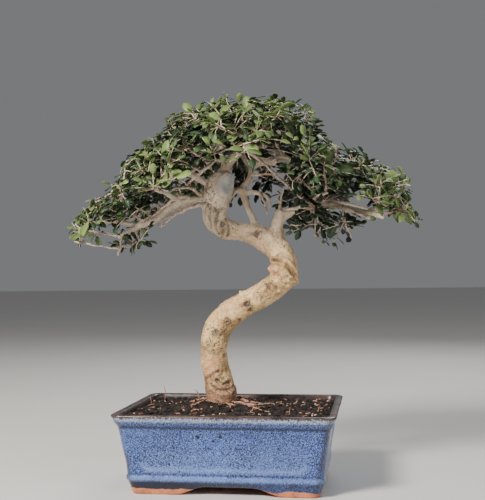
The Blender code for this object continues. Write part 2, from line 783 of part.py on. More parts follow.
def at_share(path, share):
    """A point of the path and the path's direction there."""
    reach = share * (len(path) - 1)
    k = min(int(reach), len(path) - 2)
    return path[k].lerp(path[k + 1], reach - k), (path[k + 1] - path[k]).normalized()


def outward(point):
    away = point - CROWN_MIDDLE
    return Vector((away.x * 0.6, away.y, away.z * 1.1)).normalized()


def place_twigs(index, share, path, crowd):
    """Side twigs, alternately left and right of the stem."""
    twigs = []
    for k, place in enumerate(TWIG_PLACES):
        if k / len(TWIG_PLACES) > share:
            continue
        draw = random.Random(SEED * 7919 + index * 31 + k)
        start, ahead = at_share(path, place)
        side = ahead.cross(outward(start)).normalized() * (-1) ** k
        for attempt in range(14):
            lean = draw.uniform(0.75, 1.3)
            rise = draw.uniform(-0.2, 0.5)
            aim = (ahead * 0.6 + side * lean + outward(start) * rise).normalized()
            length = TWIG_LENGTH * draw.uniform(0.8, 1.15)
            end = start + (aim + ahead * 0.25 + Vector((0, 0, 0.1))).normalized() * length
            twig = [start, start + aim * length * 0.4, start + aim * length * 0.7, end]
            clear = [start.lerp(twig[1], 0.4)] + twig[1:]
            if not in_the_way(crowd, twig, clear, TWIG_RADII, {("stem", index)}):
                twigs.append((k, twig))
                crowd.add(tapered(twig, *TWIG_RADII, 3), ("twig", index, k))
                break
    return twigs


def blade_aim(owner, key, base, ahead, side, lift, crowd):
    """How one blade lies, turned until it is clear of its neighbours, or None."""
    draw = random.Random(SEED * 104729 + owner[1] * 997 + key)
    for attempt in range(16):
        along = ahead * 0.62 + side * draw.uniform(0.95, 1.35) + lift * draw.uniform(-0.25, 0.2)
        along = (along + Vector((draw.gauss(0, 0.15) for _ in range(3)))).normalized()
        up = lift + Vector((draw.gauss(0, 0.2) for _ in range(3)))
        up = (up - along * up.dot(along)).normalized()
        size = draw.uniform(0.86, 1.14)
        if crowd.touches(blade_room(base, along, up, size, BARE_FOOT)):
            continue
        room = blade_room(base, along, up, size, SEAT_GAP)
        if not crowd.touches(room, {owner}):
            crowd.add(room, ("leaf", owner[1], key))
            return along, up, size
    return None


def leafy_shape(owner, row, radii, sides, leaf_rings, key, crowd):
    """A stem or twig with a blade at its end and others left and right by turns."""
    up = outward(row[0]) + Vector((0, 0, 0.2))
    points, faces = tapered(row, *radii, sides, up)
    frames, kin = frames_along(row, up), {}
    end = row[-1]
    ahead = (row[-1] - row[-2]).normalized()
    aim = blade_aim(owner, key, end, ahead, Vector(), frames[-1][1], crowd)
    if aim:
        along, sky, size = aim
        grow_tip_blade(points, faces, sides, blade_rim(end, along, sky, size))
    for turn, ring in enumerate(leaf_rings):
        corner = ring * sides + (RIGHT_CORNER[sides] if turn % 2 else 0)
        base = points[corner].copy()
        side = (base - row[ring]).normalized()
        ahead = (row[ring + 1] - row[ring - 1]).normalized()
        spin = ahead.cross(side).normalized()
        spin = spin if spin.dot(frames[ring][1]) > 0 else -spin
        aim = blade_aim(owner, key + 1 + turn, base, ahead, side, spin, crowd)
        if aim:
            along, sky, size = aim
            foot = open_corner(points, faces, kin, corner, sides, ahead, spin)
            rim = blade_rim(base, along, sky, size)
            if along.cross(sky).dot(ahead) > 0:
                rim.reverse()
            grow_blade(points, faces, foot, rim)
    return used_points(points, faces)


def used_points(points, faces):
    """Drops the points that no face uses."""
    kept = sorted({i for face in faces for i in face})
    place = {i: k for k, i in enumerate(kept)}
    return [points[i] for i in kept], [tuple(place[i] for i in face) for face in faces]


def spray_shapes(index, stem, twigs, crowd):
    """The stem and the side twigs of a spray, each with its leaves."""
    rings = range(max(1, len(stem) - STEM_LEAVES - 1), len(stem) - 1)
    shapes = [leafy_shape(("stem", index), stem, STEM_RADII, 4, rings, 0, crowd)]
    for k, (place, twig) in enumerate(twigs):
        rings = range(1, len(twig) - 1)
        owner = ("twig", index, place)
        shapes.append(leafy_shape(owner, twig, TWIG_RADII, 3, rings, 10 * (k + 1), crowd))
    return shapes


def make_sprays(trunk, material):
    """Every leafy stem, each one closed solid that stands clear of the others."""
    crowd = Crowd()
    woody = bmesh.new()
    woody.from_mesh(trunk.data)
    bmesh.ops.triangulate(woody, faces=woody.faces)
    points = [v.co / MM for v in woody.verts]
    faces = [[v.index for v in face.verts] for face in woody.faces]
    woody.free()
    crowd.add((points, faces), "trunk")
    wood = BVHTree.FromPolygons(points, faces)
    places, used = limb_points(), set()
    tips = spray_tips()
    order = sorted(range(len(tips)), key=lambda i: (tips[i][0] - CROWN_MIDDLE).length)
    stems = {}
    for i in order:
        path = place_stem(i, tips[i][0], places, used, crowd, wood)
        if path:
            stems[i] = path
    twigs = {i: place_twigs(i, tips[i][1], stems[i], crowd) for i in stems}
    sprays = []
    for i in sorted(stems):
        shapes = spray_shapes(i, stems[i], twigs[i], crowd)
        sprays.append(finish(fuse(f"spray_{i + 1:02d}", shapes), material))
    return sprays


def main():
    clear_scene()
    materials = {name: make_material(name) for name in COLOURS}
    trunk = make_trunk(materials["trunk"])
    parts = [make_pot(materials["pot"]), make_soil(materials["soil"]), trunk]
    parts += make_screens(materials["screen"])
    parts += make_sprays(trunk, materials["spray"])
    bonsai = bpy.data.objects.new("bonsai", None)
    bpy.context.scene.collection.objects.link(bonsai)
    bonsai.location = Vector((SHIFT_X, SHIFT_Y, 0)) * MM
    for part in parts:
        part.parent = bonsai


main()
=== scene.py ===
"""A Chinese elm bonsai in its glazed pot, dressed round the packed solids."""

import heapq
import math
import random

import bmesh
import bpy
import numpy as np
from bpy.props import FloatProperty, FloatVectorProperty, IntProperty, PointerProperty
from mathutils import Matrix, Vector, noise
from mathutils.bvhtree import BVHTree


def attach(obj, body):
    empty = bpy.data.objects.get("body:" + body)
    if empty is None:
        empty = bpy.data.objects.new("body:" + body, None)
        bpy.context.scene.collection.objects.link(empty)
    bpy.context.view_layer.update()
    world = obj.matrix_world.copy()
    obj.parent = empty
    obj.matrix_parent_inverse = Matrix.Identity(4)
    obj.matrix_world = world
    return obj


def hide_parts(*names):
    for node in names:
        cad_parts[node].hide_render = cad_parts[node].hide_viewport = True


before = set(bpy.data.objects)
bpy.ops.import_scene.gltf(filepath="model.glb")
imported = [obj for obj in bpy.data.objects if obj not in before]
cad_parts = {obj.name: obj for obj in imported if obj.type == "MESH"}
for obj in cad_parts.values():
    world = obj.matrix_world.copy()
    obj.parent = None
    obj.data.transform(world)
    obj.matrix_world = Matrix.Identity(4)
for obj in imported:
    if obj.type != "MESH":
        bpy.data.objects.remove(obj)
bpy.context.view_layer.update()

bl_info = {
    "name": "Chinese elm bonsai",
    "version": (1, 0, 0),
    "blender": (4, 5, 0),
    "location": "View3D > Sidebar > Bonsai",
    "description": "Builds a Chinese elm bonsai in its glazed pot",
    "category": "Object",
}

MM = 0.001
# The pot's middle in the frame, and the middle of the crown, in millimetres
SHIFT = np.array((-8.7, 2.3, 0.0))
CROWN_MIDDLE = np.array((8.0, 0.0, 246.0))
CROWN_REACH = np.array((168.0, 108.0, 118.0))

# Pot: half length and half depth at the rim, then its section as inset and height,
# from the underside down the foot, up the wall, over the lip and down inside
POT_HALF = np.array((100.0, 78.0))
POT_SECTION = (
    (25.5, 8.0), (25.2, 6.0), (25.0, 3.5), (24.9, 1.2), (24.3, 0.2), (22.5, 0.0), (18.6, 0.0),
    (16.9, 0.0), (16.2, 0.3), (15.8, 1.2), (15.3, 2.8), (14.9, 4.2), (14.5, 5.6), (14.1, 7.2),
    (13.6, 8.6), (13.2, 10.0), (12.8, 11.3), (12.4, 12.2), (11.8, 12.9), (11.3, 13.8),
    (11.1, 14.9), (11.2, 15.9), (11.6, 16.8), (11.9, 17.5), (11.9, 18.6), (11.7, 20.6),
    (11.4, 23.0), (11.1, 25.8), (10.7, 28.6), (10.2, 31.4), (9.7, 34.2), (9.2, 37.0),
    (8.7, 39.8), (8.2, 42.6), (7.7, 45.4), (7.3, 48.2), (6.9, 50.8), (6.5, 53.2), (6.1, 55.4),
    (5.8, 57.2), (5.5, 58.7), (5.2, 60.0), (4.7, 61.2), (4.1, 62.3), (3.4, 63.4), (2.6, 64.6),
    (1.9, 65.9), (1.2, 67.3), (0.6, 68.6), (0.2, 69.7), (0.0, 70.4),
    (0.2, 71.1), (0.8, 71.7), (1.8, 72.0), (3.2, 72.0), (4.8, 71.9), (6.1, 71.6), (6.8, 71.1),
    (7.1, 70.3), (7.5, 68.6), (8.1, 66.0), (9.7, 58.0), (12.2, 45.0), (15.1, 30.0),
    (17.6, 17.0), (19.0, 15.2),
)
LIP_TOP = (0.0, 70.4)
FOOT_TOP = 11.3
# How many rings of the section the underside and the foot have, and between which two the
# wall lies
UNDERSIDE_RINGS, FOOT_RINGS = 3, 16
WALL_RINGS = (22, 42)
CORNER_ROUND = 6.6
# Arched gaps of the foot: half length and shoulder on the front and on the sides, how far the
# front's lies to the right, and how high they rise
ARCH_HALF = (50.0, 38.0)
ARCH_SHOULDER = (30.0, 20.0)
ARCH_ASIDE = 4
ARCH_RISE = 7.4
PANEL_MARGIN = 16.0
PANEL_DEPTH = 1.1
PANEL_BOTTOM, PANEL_TOP = 23.5, 55.0
PANEL_CORNER = 9.0
# Pinholes and dark dots of the glaze on the front: across, height and radius
PINHOLES = (
    (-20.9, 52.5, 1.7), (-0.9, 52.8, 1.5), (-7.7, 49.1, 1.1), (3.2, 55.1, 0.7), (-48.1, 27.7, 0.9),
    (-38.8, 21.3, 0.8), (-62.1, 16.5, 0.7), (82.5, 30.5, 1.0), (-30.0, 43.5, 0.5),
    (48.0, 36.0, 0.6), (24.0, 25.0, 0.5),
)
DRAIN_RADIUS = 8.0
DRAIN_PLACES = (-39.0, 39.0)
# The cut that makes a drain hole: its middle's height, and its length
DRAIN_CUT = (11, 20)
# The floor round the drain holes: half length, half depth and greatest height, and the mark
# that says that no glaze reaches it
DRAIN_FLOOR = (60, 30, 15.6)
NO_GLAZE = 100.0

# Soil: its edge and bottom height, the mound round the trunk, and the hole for the root plug
SOIL_EDGE = 67.4
SOIL_BOTTOM = 16.7
SOIL_EDGE_INSET = 8.2
SOIL_BOTTOM_INSET = 18.0
SOIL_CORNER = 6.5
MOUND_HEIGHT = 8.5
MOUND_SPREAD = 46.0
TRUNK_X = -12.0
PLUG_HOLE = 13.2
PLUG_BOTTOM = 44.0
# The cut that makes the plug's hole: its middle above the plug's bottom, and its length
PLUG_CUT = (29.7, 60)
# Size of the soil's faces, and how far under its edge they are moved to the soil's surface
SOIL_FACE = 1.9
SOIL_SURFACE_BAND = 1.2
# Where loose things lie on the soil: half size in plan, where its round corners begin and how
# round they are, and how far off the trunk
LOOSE_HALF = (90.5, 68.5)
LOOSE_CORNER = (84, 62, 6.5)
LOOSE_OFF_TRUNK = 13.0

# Trunk and limbs: middle line and radius in millimetres, from the pot's middle
TRUNK = (
    (-12, 0, 44, 13.9), (-12, 0, 56, 13.9), (-12, 0, 68, 13.9),
    (-12, 0, 82, 13.9), (-14.2, 0, 93, 13.3), (-17, 0, 104, 12.9),
    (-19, -1, 119, 12.4), (-17.9, -2, 134, 12.8), (-12.6, -3, 147, 13.3),
    (-2, -5, 157.5, 13.0), (13, -7, 167, 12.0), (31.5, -8, 177, 11.6),
    (45.5, -8, 187, 11.7), (50.5, -7, 199, 11.8), (49, -5, 209, 11.5),
    (42.5, -2, 219, 11.8), (32.5, 0, 227, 11.4), (20, 2, 233, 10.2),
    (5, 4, 236, 8.6), (-7, 4, 239, 9.8), (-15.5, 3, 246, 11.3),
    (-17.5, 1, 255, 12.0), (-15.5, 0, 265, 12.8), (-12.7, 0, 277, 13.6),
    (-10.5, 0, 286, 11.6), (-9.5, 0, 291, 8.4),
)
LIMBS = (
    ((-16, 0, 266, 6.8), (-28, -2, 265, 5.4), (-42, -6, 265, 4.5), (-58, -12, 259, 3.9),
     (-68, -17, 250, 3.3), (-85, -25, 241, 2.8), (-103, -34, 230, 2.1)),
    ((-86, -25, 240, 2.6), (-105, -28, 246, 2.2), (-126, -30, 245, 1.6)),
    ((-14, 2, 262, 4.8), (-32, 22, 268, 3.5), (-54, 42, 270, 2.6), (-78, 58, 266, 1.9),
     (-100, 66, 258, 1.3)),
    ((-48, -8, 264, 2.8), (-56, -30, 270, 1.9), (-62, -54, 272, 1.2)),
    ((-15, 0, 277, 4.0), (-34, -8, 288, 2.8), (-58, -14, 294, 2.1), (-84, -14, 290, 1.6),
     (-108, -12, 280, 1.1)),
    ((42, 1, 226, 7.6), (42, 0, 238, 6.2), (45, 0, 247, 5.4), (48, 0, 254, 5.0)),
    ((45, 0, 247, 4.2), (57, 0, 253, 3.8), (75, -4, 258, 3.4), (95, -8, 259, 3.0),
     (114, -12, 253, 2.9), (143, -20, 246, 2.5)),
    ((126, -15, 249, 2.6), (142, -10, 257, 2.1), (156, -6, 262, 1.6)),
    ((45, 1, 245, 4.0), (60, 20, 258, 2.9), (84, 38, 266, 2.2), (110, 50, 264, 1.6),
     (130, 54, 258, 1.1)),
    ((72, -3, 257, 2.6), (82, -28, 264, 1.7), (94, -52, 266, 1.1)),
    ((30, 1, 228, 5.4), (22, 4, 241, 3.7), (18, 8, 250, 3.2), (13, 13, 260, 3.0),
     (8, 17, 272, 3.3), (8, 18, 279, 3.4), (14, 20, 288, 2.7), (16, 22, 297, 2.8),
     (24, 20, 303, 3.1), (38, 12, 302, 2.9), (53, 5, 299, 2.6)),
    ((9, 17, 275, 2.6), (24, 12, 273, 2.1), (33, 9, 268, 1.5), (36, 7, 258, 0.9)),
    ((8, 18, 278, 3.4), (0, 9, 275, 2.8), (-10, 1, 273, 2.8)),
    ((-12, 0, 282, 7.6), (-7, 3, 297, 5.2), (6, 4, 311, 3.8), (20, 1, 321, 2.8)),
    ((7, 3, 312, 3.0), (4, -12, 320, 2.6), (-6, -24, 314, 2.2), (-28, -36, 298, 1.4)),
    ((-5, 3, 300, 3.4), (-22, 6, 313, 2.6), (-46, 4, 320, 1.9), (-74, -2, 314, 1.2)),
    ((-7, 3, 297, 3.4), (-18, 24, 306, 2.5), (-34, 44, 308, 1.8), (-50, 58, 302, 1.3)),
    ((18, 1, 320, 2.8), (38, -6, 328, 2.0), (62, -12, 326, 1.3)),
    ((0, 5, 305, 3.0), (2, 28, 316, 2.3), (6, 54, 308, 1.7), (10, 76, 292, 1.2)),
    ((14, 3, 317, 2.8), (28, 24, 320, 2.1), (48, 44, 312, 1.6), (70, 54, 300, 1.1)),
    ((14, 2, 317, 2.6), (20, -24, 322, 1.9), (26, -48, 316, 1.2)),
    ((18, 22, 301, 2.8), (42, 18, 307, 2.2), (68, 8, 300, 1.6), (94, 0, 290, 1.1)),
    ((19, 1, 320, 2.6), (22, 4, 334, 1.9), (19, 6, 345, 1.2)),
)
# Bumps of the bark: middle, reach and height. A pit has a height below nought.
BUMPS = (
    (38.5, -12, 199.5, 4.4, 5.0), (43.8, -18.2, 198.4, 4.2, 2.8), (51.9, -19.1, 194.8, 4.2, 2.8),
    (56.2, -16.5, 189.5, 4.2, 2.6), (61.5, -10.5, 186, 5.5, 3.8), (41.7, -19.9, 192, 3.0, -2.2),
    (47.6, -20, 197.0, 2.2, -2.0), (50, -20, 189, 2.4, -1.4), (56, -17.5, 206, 6.5, 1.4),
    (6, -12, 157, 6, 1.2), (-12, -9, 236, 9, 1.6),
    (-2, -8, 287, 8, 3.4), (0, -8, 86, 9, 2.4), (-4, -10, 80, 8, 1.6), (14, -12, 238, 7, 1.4),
    (-24, 8, 276, 9, 2.6), (-26, 6, 84, 10, 2.4), (8.6, -12.0, 178.6, 2.2, 3.0),
    (57, 4, 201, 7, 1.2), (-20, 12, 140, 6, 1.2), (0, 12, 168, 6, 1.0), (-23, -8, 262, 5, 1.6),
    (-21, -10, 250, 5, 1.4), (2, -6, 229, 4, 1.2), (26, -11, 172, 5, 0.8), (-28, -6, 112, 6, 0.9),
    (-9, -13, 112, 5, 0.8), (55, -14, 210, 5, 0.7), (-5, -13, 272, 5, 0.8),
    (108, -13, 253, 3.5, 1.0), (121, -17, 249, 3.2, 1.2), (133, -20, 247, 3.2, 1.3),
    (141, -22, 245, 3.0, 1.0), (100, -12, 257, 3.0, -0.8), (115, -10, 255, 3.0, -0.7),
    (-72, -20, 246, 3.5, 1.0), (-80, -24, 242, 3.0, 1.1), (-90, -29, 238, 3.0, 1.1),
)
# Ring scars left by old cuts: middle, ring radius, lip, depth of the hollow and how tall
SCARS = (
    (16.3, -20.6, 166.8, 3.9, 0.8, 1.8, 1.0), (-8.6, -7.1, 239.9, 4.4, 2.6, 0.6, 2.1),
    (-2.3, -9.4, 280.4, 7.5, 1.0, 1.0, 1.2), (18.7, -17.9, 161.6, 1.8, 0.3, 0.6, 1.0),
    (-2.8, -16.9, 150.0, 2.2, 0.3, 0.6, 0.7), (51.0, 6.0, 205.0, 4.0, 0.7, 0.8, 1.0),
    (-13.8, -15.1, 140.6, 3.6, 0.5, 0.5, 1.1), (-28.0, 4.0, 120.0, 3.2, 0.5, 0.7, 1.0),
    (22.0, 12.0, 236.0, 3.2, 0.5, 0.6, 1.0), (24.2, -9.1, 232.1, 4.4, 0.4, 0.5, 0.8),
    (56.2, -16.5, 189.5, 2.6, 0.6, 0.8, 1.0),
)
# The grey healed cut at the trunk's top: middle and reach
TOP_CUT = ((-4, -8, 279), (11, 9, 12))
# How far apart limbs lie in the pattern that runs along them, and how many points are
# compared with the limbs at a time
LIMB_APART = 400.0
AT_A_TIME = 8192
# Creases of the bark: points along each, its width and its depth
CREASES = (
    (((41.1, -12.8, 206.4), (47.2, -17.2, 205.4), (53.1, -17.9, 201.8), (57.2, -16.2, 196.6),
      (60.5, -12.5, 192)), 1.6, 3.4),
    (((36.1, -19.8, 188.8), (41.6, -21.4, 184.6), (45.3, -19.9, 180)), 1.2, 1.7),
    (((40, -17, 195.5), (45, -20, 194), (49, -20.5, 189.5), (54, -18, 184.5)), 1.2, 1.8),
    (((30, -17.5, 190.5), (34.3, -20.2, 186.5), (37, -21.3, 181)), 1.2, 1.1),
    (((-6, -9, 258), (-11.5, -10.5, 252), (-14.5, -9, 244), (-13.5, -7, 236), (-9, -4, 230)),
     1.3, 2.4),
    (((-18.5, -11.2, 258.4), (-20, -10, 250), (-19, -7.5, 241)), 1.2, 1.2),
    (((-22, -8, 264), (-18, -11, 258), (-12, -11, 256)), 1.3, 0.9),
    (((-3.5, -8, 249), (-2.6, -7, 241), (-3.5, -3, 232)), 1.1, 1.5),
    (((-14, -13.5, 96), (-8, -13.8, 92), (-1, -11, 94)), 1.3, 1.1),
    (((-20, -12, 90), (-12, -14, 86), (-3, -12, 86)), 1.3, 1.2),
    (((-24, -6, 96), (-18, -12, 101), (-12, -13, 104)), 1.1, 0.7),
)
# Stains of the bark: middle, reach and strength
STAINS = (
    (16.3, -20.6, 166.8, 4.8, 1.0), (18.7, -17.9, 161.6, 3.6, 0.9), (-2.8, -16.9, 150, 6, 0.7),
    (8.7, -14.6, 152.2, 5.0, 0.6), (-13.8, -15.1, 140.6, 5.2, 0.8), (-17.6, -14.4, 133.5, 4.2, 0.6),
    (-12.1, -12.1, 128.7, 3.6, 0.6), (-9.7, -9.0, 120.2, 4.4, 0.7), (24.2, -9.1, 232.1, 6.5, 0.7),
    (-8.8, -7.1, 239.9, 6.0, 0.4), (47, -20, 195, 8, 0.5), (37, -21, 184, 7, 0.45),
    (-21.4, -10.5, 273.2, 9, 0.5), (-18.5, -11.2, 258.4, 7, 0.5), (-11.2, -12.3, 97.8, 9, 0.7),
    (-4.1, -9.7, 90.1, 8, 0.8), (48.7, -12.7, 221.7, 4, 0.4), (30, -17, 176, 6, 0.4),
    (-27, 6, 130, 6, 0.6), (4, 10, 160, 7, 0.6), (40, 6, 195, 7, 0.6), (-20, 14, 105, 8, 0.7),
    (20, 10, 232, 6, 0.5), (-24, 8, 262, 8, 0.5),
)
# Fine roots on the soil beside the trunk: points in plan and radius
ROOTS = (
    ((-4, -6, 1.5), (6, -14, 1.15), (16, -21, 0.95), (28, -27, 0.75), (37, -29, 0.45)),
    ((-3, 2, 1.6), (9, -2, 1.2), (20, 1, 0.9), (30, 6, 0.7), (38, 8, 0.4)),
    ((-22, -6, 1.5), (-30, -11, 1.0), (-35, -19, 0.7), (-37, -25, 0.4)),
    ((6, -14, 0.9), (16, -12, 0.7), (24, -15, 0.5), (33, -14, 0.3)),
    ((16, -21, 0.7), (22, -30, 0.5), (21, -38, 0.3)),
    ((-6, -12, 1.0), (-1, -22, 0.7), (2, -32, 0.4)),
    ((9, -2, 0.7), (17, -8, 0.55), (27, -5, 0.35)),
    ((1, 3, 0.8), (6, 10, 0.6), (13, 13, 0.4)),
    ((-8, 12, 1.4), (-2, 22, 1.0), (8, 30, 0.6), (10, 40, 0.35)),
    ((-24, 6, 1.3), (-36, 14, 0.9), (-42, 26, 0.5)),
)
# Bare twigs that show: points and radius
BARE_TWIGS = (
    ((-26, -6, 262, 2.2), (-38, -11, 259, 1.8), (-50, -16, 253, 1.5), (-58, -19, 247, 1.1),
     (-63, -20, 241, 0.7)),
    ((-40, -9, 268, 1.9), (-50, -15, 268, 1.7), (-62, -19, 260, 1.5), (-72, -22, 251, 1.3),
     (-84, -27, 245, 0.9)),
    ((-62, -15, 255, 1.6), (-66, -19, 247, 1.4), (-64, -21, 240, 1.0)),
    ((96, -10, 258, 1.9), (108, -15, 255, 1.6), (122, -19, 248, 1.4), (134, -22, 243, 0.9)),
    ((20, -4, 309, 1.3), (34, -9, 297, 1.2), (44, -13, 287, 1.15), (64, -18, 268, 0.9),
     (78, -21, 256, 0.6)),
    ((-58, -12, 260, 1.7), (-64, -16, 257, 1.3), (-72, -20, 250, 0.9), (-80, -22, 243, 0.5)),
    ((-44, -8, 261, 1.5), (-52, -11, 254, 1.1), (-62, -16, 249, 0.8), (-69, -17, 242, 0.5)),
    ((-100, -33, 231, 1.3), (-100, -35, 222, 1.0), (-102, -38, 213, 0.7)),
    ((136, -18, 248, 1.6), (152, -20, 250, 1.1), (164, -23, 247, 0.6)),
    ((46, 0, 252, 1.9), (47, -4, 263, 1.4), (50, -8, 275, 0.9)),
    ((-28, -4, 268, 1.8), (-36, -12, 276, 1.3), (-50, -17, 277, 1.0), (-58, -21, 272, 0.6)),
    ((48, 0, 252, 1.9), (56, -5, 256, 1.4), (66, -9, 254, 0.8)),
    ((26, 10, 273, 1.4), (31, 4, 262, 1.0), (34, 1, 250, 0.6)),
    ((-20, 5, 312, 1.4), (-30, -7, 303, 1.1), (-42, -16, 296, 0.6)),
    ((4, -12, 319, 1.5), (14, -20, 307, 1.1), (22, -24, 296, 0.6)),
    ((84, -7, 259, 1.5), (90, -14, 248, 1.0), (94, -18, 238, 0.5)),
    ((-8, -34, 301, 1.7), (-15.5, -40, 293.6, 1.5), (-22.3, -44, 287, 1.3), (-29, -46, 281, 1.1),
     (-34.4, -47, 276.5, 0.9)),
    ((-34.4, -47, 276.5, 0.8), (-38, -48, 281, 0.75), (-42, -48, 285.7, 0.6)),
    ((-21.3, -44, 287.4, 0.9), (-28, -46, 292.5, 0.8), (-33.4, -44, 296, 0.6)),
    ((-35.7, -38, 308, 0.9), (-37.7, -42, 316, 0.8), (-43.4, -40, 323.6, 0.6)),
    ((-47.8, -12, 269, 0.9), (-48, -16, 280, 0.8), (-47.8, -20, 288.7, 0.7)),
    ((15.4, 12, 289.8, 1.5), (23, 8, 290.6, 1.5), (34, 4, 290.3, 1.3), (47, 2, 290.8, 0.9)),
    ((63.6, -20, 283, 0.7), (68.5, -22, 275.4, 0.9), (76, -20, 268, 0.9)),
    ((92, -8, 256.3, 1.0), (90, -12, 248, 0.9), (86, -14, 240.7, 0.8), (82.6, -15, 233, 0.6)),
    ((99.6, -30, 269, 0.8), (103, -34, 274, 0.7), (100, -34, 282, 0.5)),
    ((51, -28, 304.5, 1.0), (46.8, -36, 312, 1.0), (41, -38, 321, 0.9), (32, -36, 329, 0.6)),
    ((4, -14, 319, 2.0), (15.7, -12, 311, 1.9), (25.3, -6, 305.3, 1.7), (38.8, 0, 302.3, 1.5),
     (51.7, 4, 300, 1.4)),
    ((5, -14, 318, 1.7), (11.3, -20, 323.8, 1.5), (13, -23, 327.7, 1.4)),
    ((7.5, 12, 277.5, 1.9), (3, 8, 275.3, 1.7), (-1, 4, 269.7, 1.5), (-3, 2, 263.4, 1.3)),
    ((-100.4, -36, 219.2, 1.0), (-114, -42, 221.8, 0.9), (-128.6, -44, 224.2, 0.8),
     (-141.7, -44, 226.6, 0.5)),
    ((59, -30, 312.5, 0.6), (67.6, -32, 308.6, 0.9), (77, -30, 306.4, 0.9), (86, -26, 299, 0.8)),
    ((-53, -40, 271.8, 0.9), (-66, -42, 273.7, 0.8), (-79.7, -40, 274.7, 0.6)),
    ((-75.8, -34, 252.7, 0.8), (-83.8, -38, 257.8, 0.7), (-94.3, -36, 263.3, 0.5)),
    ((34.8, -28, 311.7, 1.1), (32, -34, 318.6, 1.0), (27.4, -34, 325.4, 0.9), (24, -30, 334, 0.6)),
    ((50.3, -34, 314, 0.8), (54, -36, 321, 0.7), (56, -34, 327.5, 0.5)),
    ((-34.6, -38, 297.7, 0.9), (-44.5, -40, 300.3, 0.8), (-56.3, -42, 301, 0.7),
     (-64.4, -40, 297.4, 0.5)),
)
# Dry sprigs and bits of bark on the soil: points in plan, height above the soil and radius
SPRIGS = (
    ((-80, 52, 0, 0.5), (-79, 51, 9, 0.45), (-81, 50, 17, 0.25)),
    ((-86, 22, 0, 0.5), (-87, 21, 8, 0.3)),
    ((-38, 24, 0, 0.7), (-40, 23, 8, 0.5), (-43, 22, 11, 0.3)),
    ((-26, 18, 0, 0.8), (-28, 15, 7, 0.6), (-25, 12, 11, 0.4)),
    ((56, -36, 0, 0.5), (57, -38, 7, 0.3)),
    ((80, -12, 0, 0.6), (82, -13, 6, 0.3)),
)
# Bits of wood that lie loose on the soil
LOOSE_BITS = 70

# Leaf: how far along each row of its edge lies and half its width, as shares of the length
LEAF_ROWS = (
    (0.0, 0.024), (0.08, 0.03), (0.18, 0.17), (0.35, 0.295), (0.40, 0.28), (0.59, 0.325),
    (0.64, 0.31), (0.83, 0.24), (0.87, 0.19), (1.0, 0.05),
)
LEAF_THICK = 0.024
# How leaves differ: in width, in the fold along the midrib, in the droop of the tip and in
# its swing to a side
LEAF_WIDTH, LEAF_FOLD, LEAF_DROOP, LEAF_SWING = (0.88, 1.12), (0.05, 0.32), (0.0, 0.34), 0.06
# Where the broad middle of a leaf lies, as a share of its length
HEART_SHARE = 0.55
LINE_STEP = 2.4
THIN_STEP = 2.6
FEWEST_POINTS = 4
LEAF_FOOT_GAP = 7.0
JOIN_WITHIN = 2.2
# How long the edges are that run from a leaf's tip to its broadest place
TIP_EDGES = (4.0, 11.0)
LEAF_ROOM = 3.2
# How much of their length the solid's leaves keep, in turn
LEAF_TRIM = (1.0, 0.8, 0.92, 0.74, 0.86)
CELL = 4.0
# Below this height the sprays hang free and have fewer leaves, with more room between them
HANG_BELOW = 239.0
HANG_ROOM = 1.7
LOWEST_TIP = 208
# How near leaves and new twigs may come to the wood
CLEAR_OF_WOOD, TWIG_OFF_WOOD = 1.2, 1.0
# A leaf hides a stem that is less than this to its side or above it, and less than this behind
STEM_WIDTH, STEM_FRONT = 3.0, 30
# How far side twigs reach out from the solid's leaves, and how long they are
FILL_REACH = 13.0
FILL_LENGTH = (6.0, 26.0)
# How leaves follow one another on stems, on the solid's twigs and on new ones: where they
# begin, how far apart they are, and the shortest and longest as shares of the usual leaf
STEM_HABIT = (0.35, 4.6, 0.65, 1.2)
TWIG_HABIT = (0.2, 4.6, 0.65, 1.2)
FILL_HABIT = (0.15, 3.3, 0.55, 1.05)
# Radius of stems, twigs and new twigs, from thick to thin
STEM_RADII, TWIG_RADII, FILL_RADII = (1.25, 0.5), (0.75, 0.4), (0.5, 0.3)
# The empty places that are looked for, round by round, as the distance to other leaves
FILL_ROOMS = (7.5, 6.0, 5.0)
# The space behind the open limbs: middle and half size
BACK_ROOM = (np.array((24.0, 36.0, 258.0)), np.array((36.0, 18.0, 28.0)))
BACK_SHARE = 0.2
BACK_LENGTH = 50.0
# How the photograph sees the crown: the way round, how far off, how far aside and how high,
# in millimetres, and the camera's own place to the last digit in metres
VIEW_TURN = math.radians(8.573)
VIEW_FROM, VIEW_ASIDE, VIEW_HEIGHT = 850.0, 9.4, 190.8
CAMERA_PLACE = (0.84999, 0.009443, 0.190798)
# The crown's outline in the photograph, on the upright plane through the pot's middle:
# its upper and its lower edge as places across and up
CROWN_TOP = (
    (-159, 236), (-151, 245), (-143, 262), (-137, 271), (-129, 272), (-121, 282), (-114, 284),
    (-107, 295), (-101, 312), (-93, 314), (-84, 325), (-76, 326), (-67, 333),
    (-58, 352), (-39, 360), (-8, 367), (25, 371), (57, 366), (71, 361), (83, 350), (93, 327),
    (106, 314), (122, 317), (134, 311), (149, 298), (170, 294), (173, 270), (177, 252), (184, 241),
)
CROWN_LOW = (
    (-159, 230), (-150, 224), (-127, 219), (-106, 213), (-88, 213), (-70, 218), (-62, 231),
    (50, 231), (81, 229), (93, 217), (114, 222), (120, 241), (146, 243), (167, 241), (184, 235),
)
# How far a leaf's tip may pass that outline, how much that differs from place to place, and
# how far inside it twigs end
OUTLINE_SPARE = 1.0
OUTLINE_RAGGED = 9.0
OUTLINE_STRAY = 8.0
TWIG_SPARE = -5.0
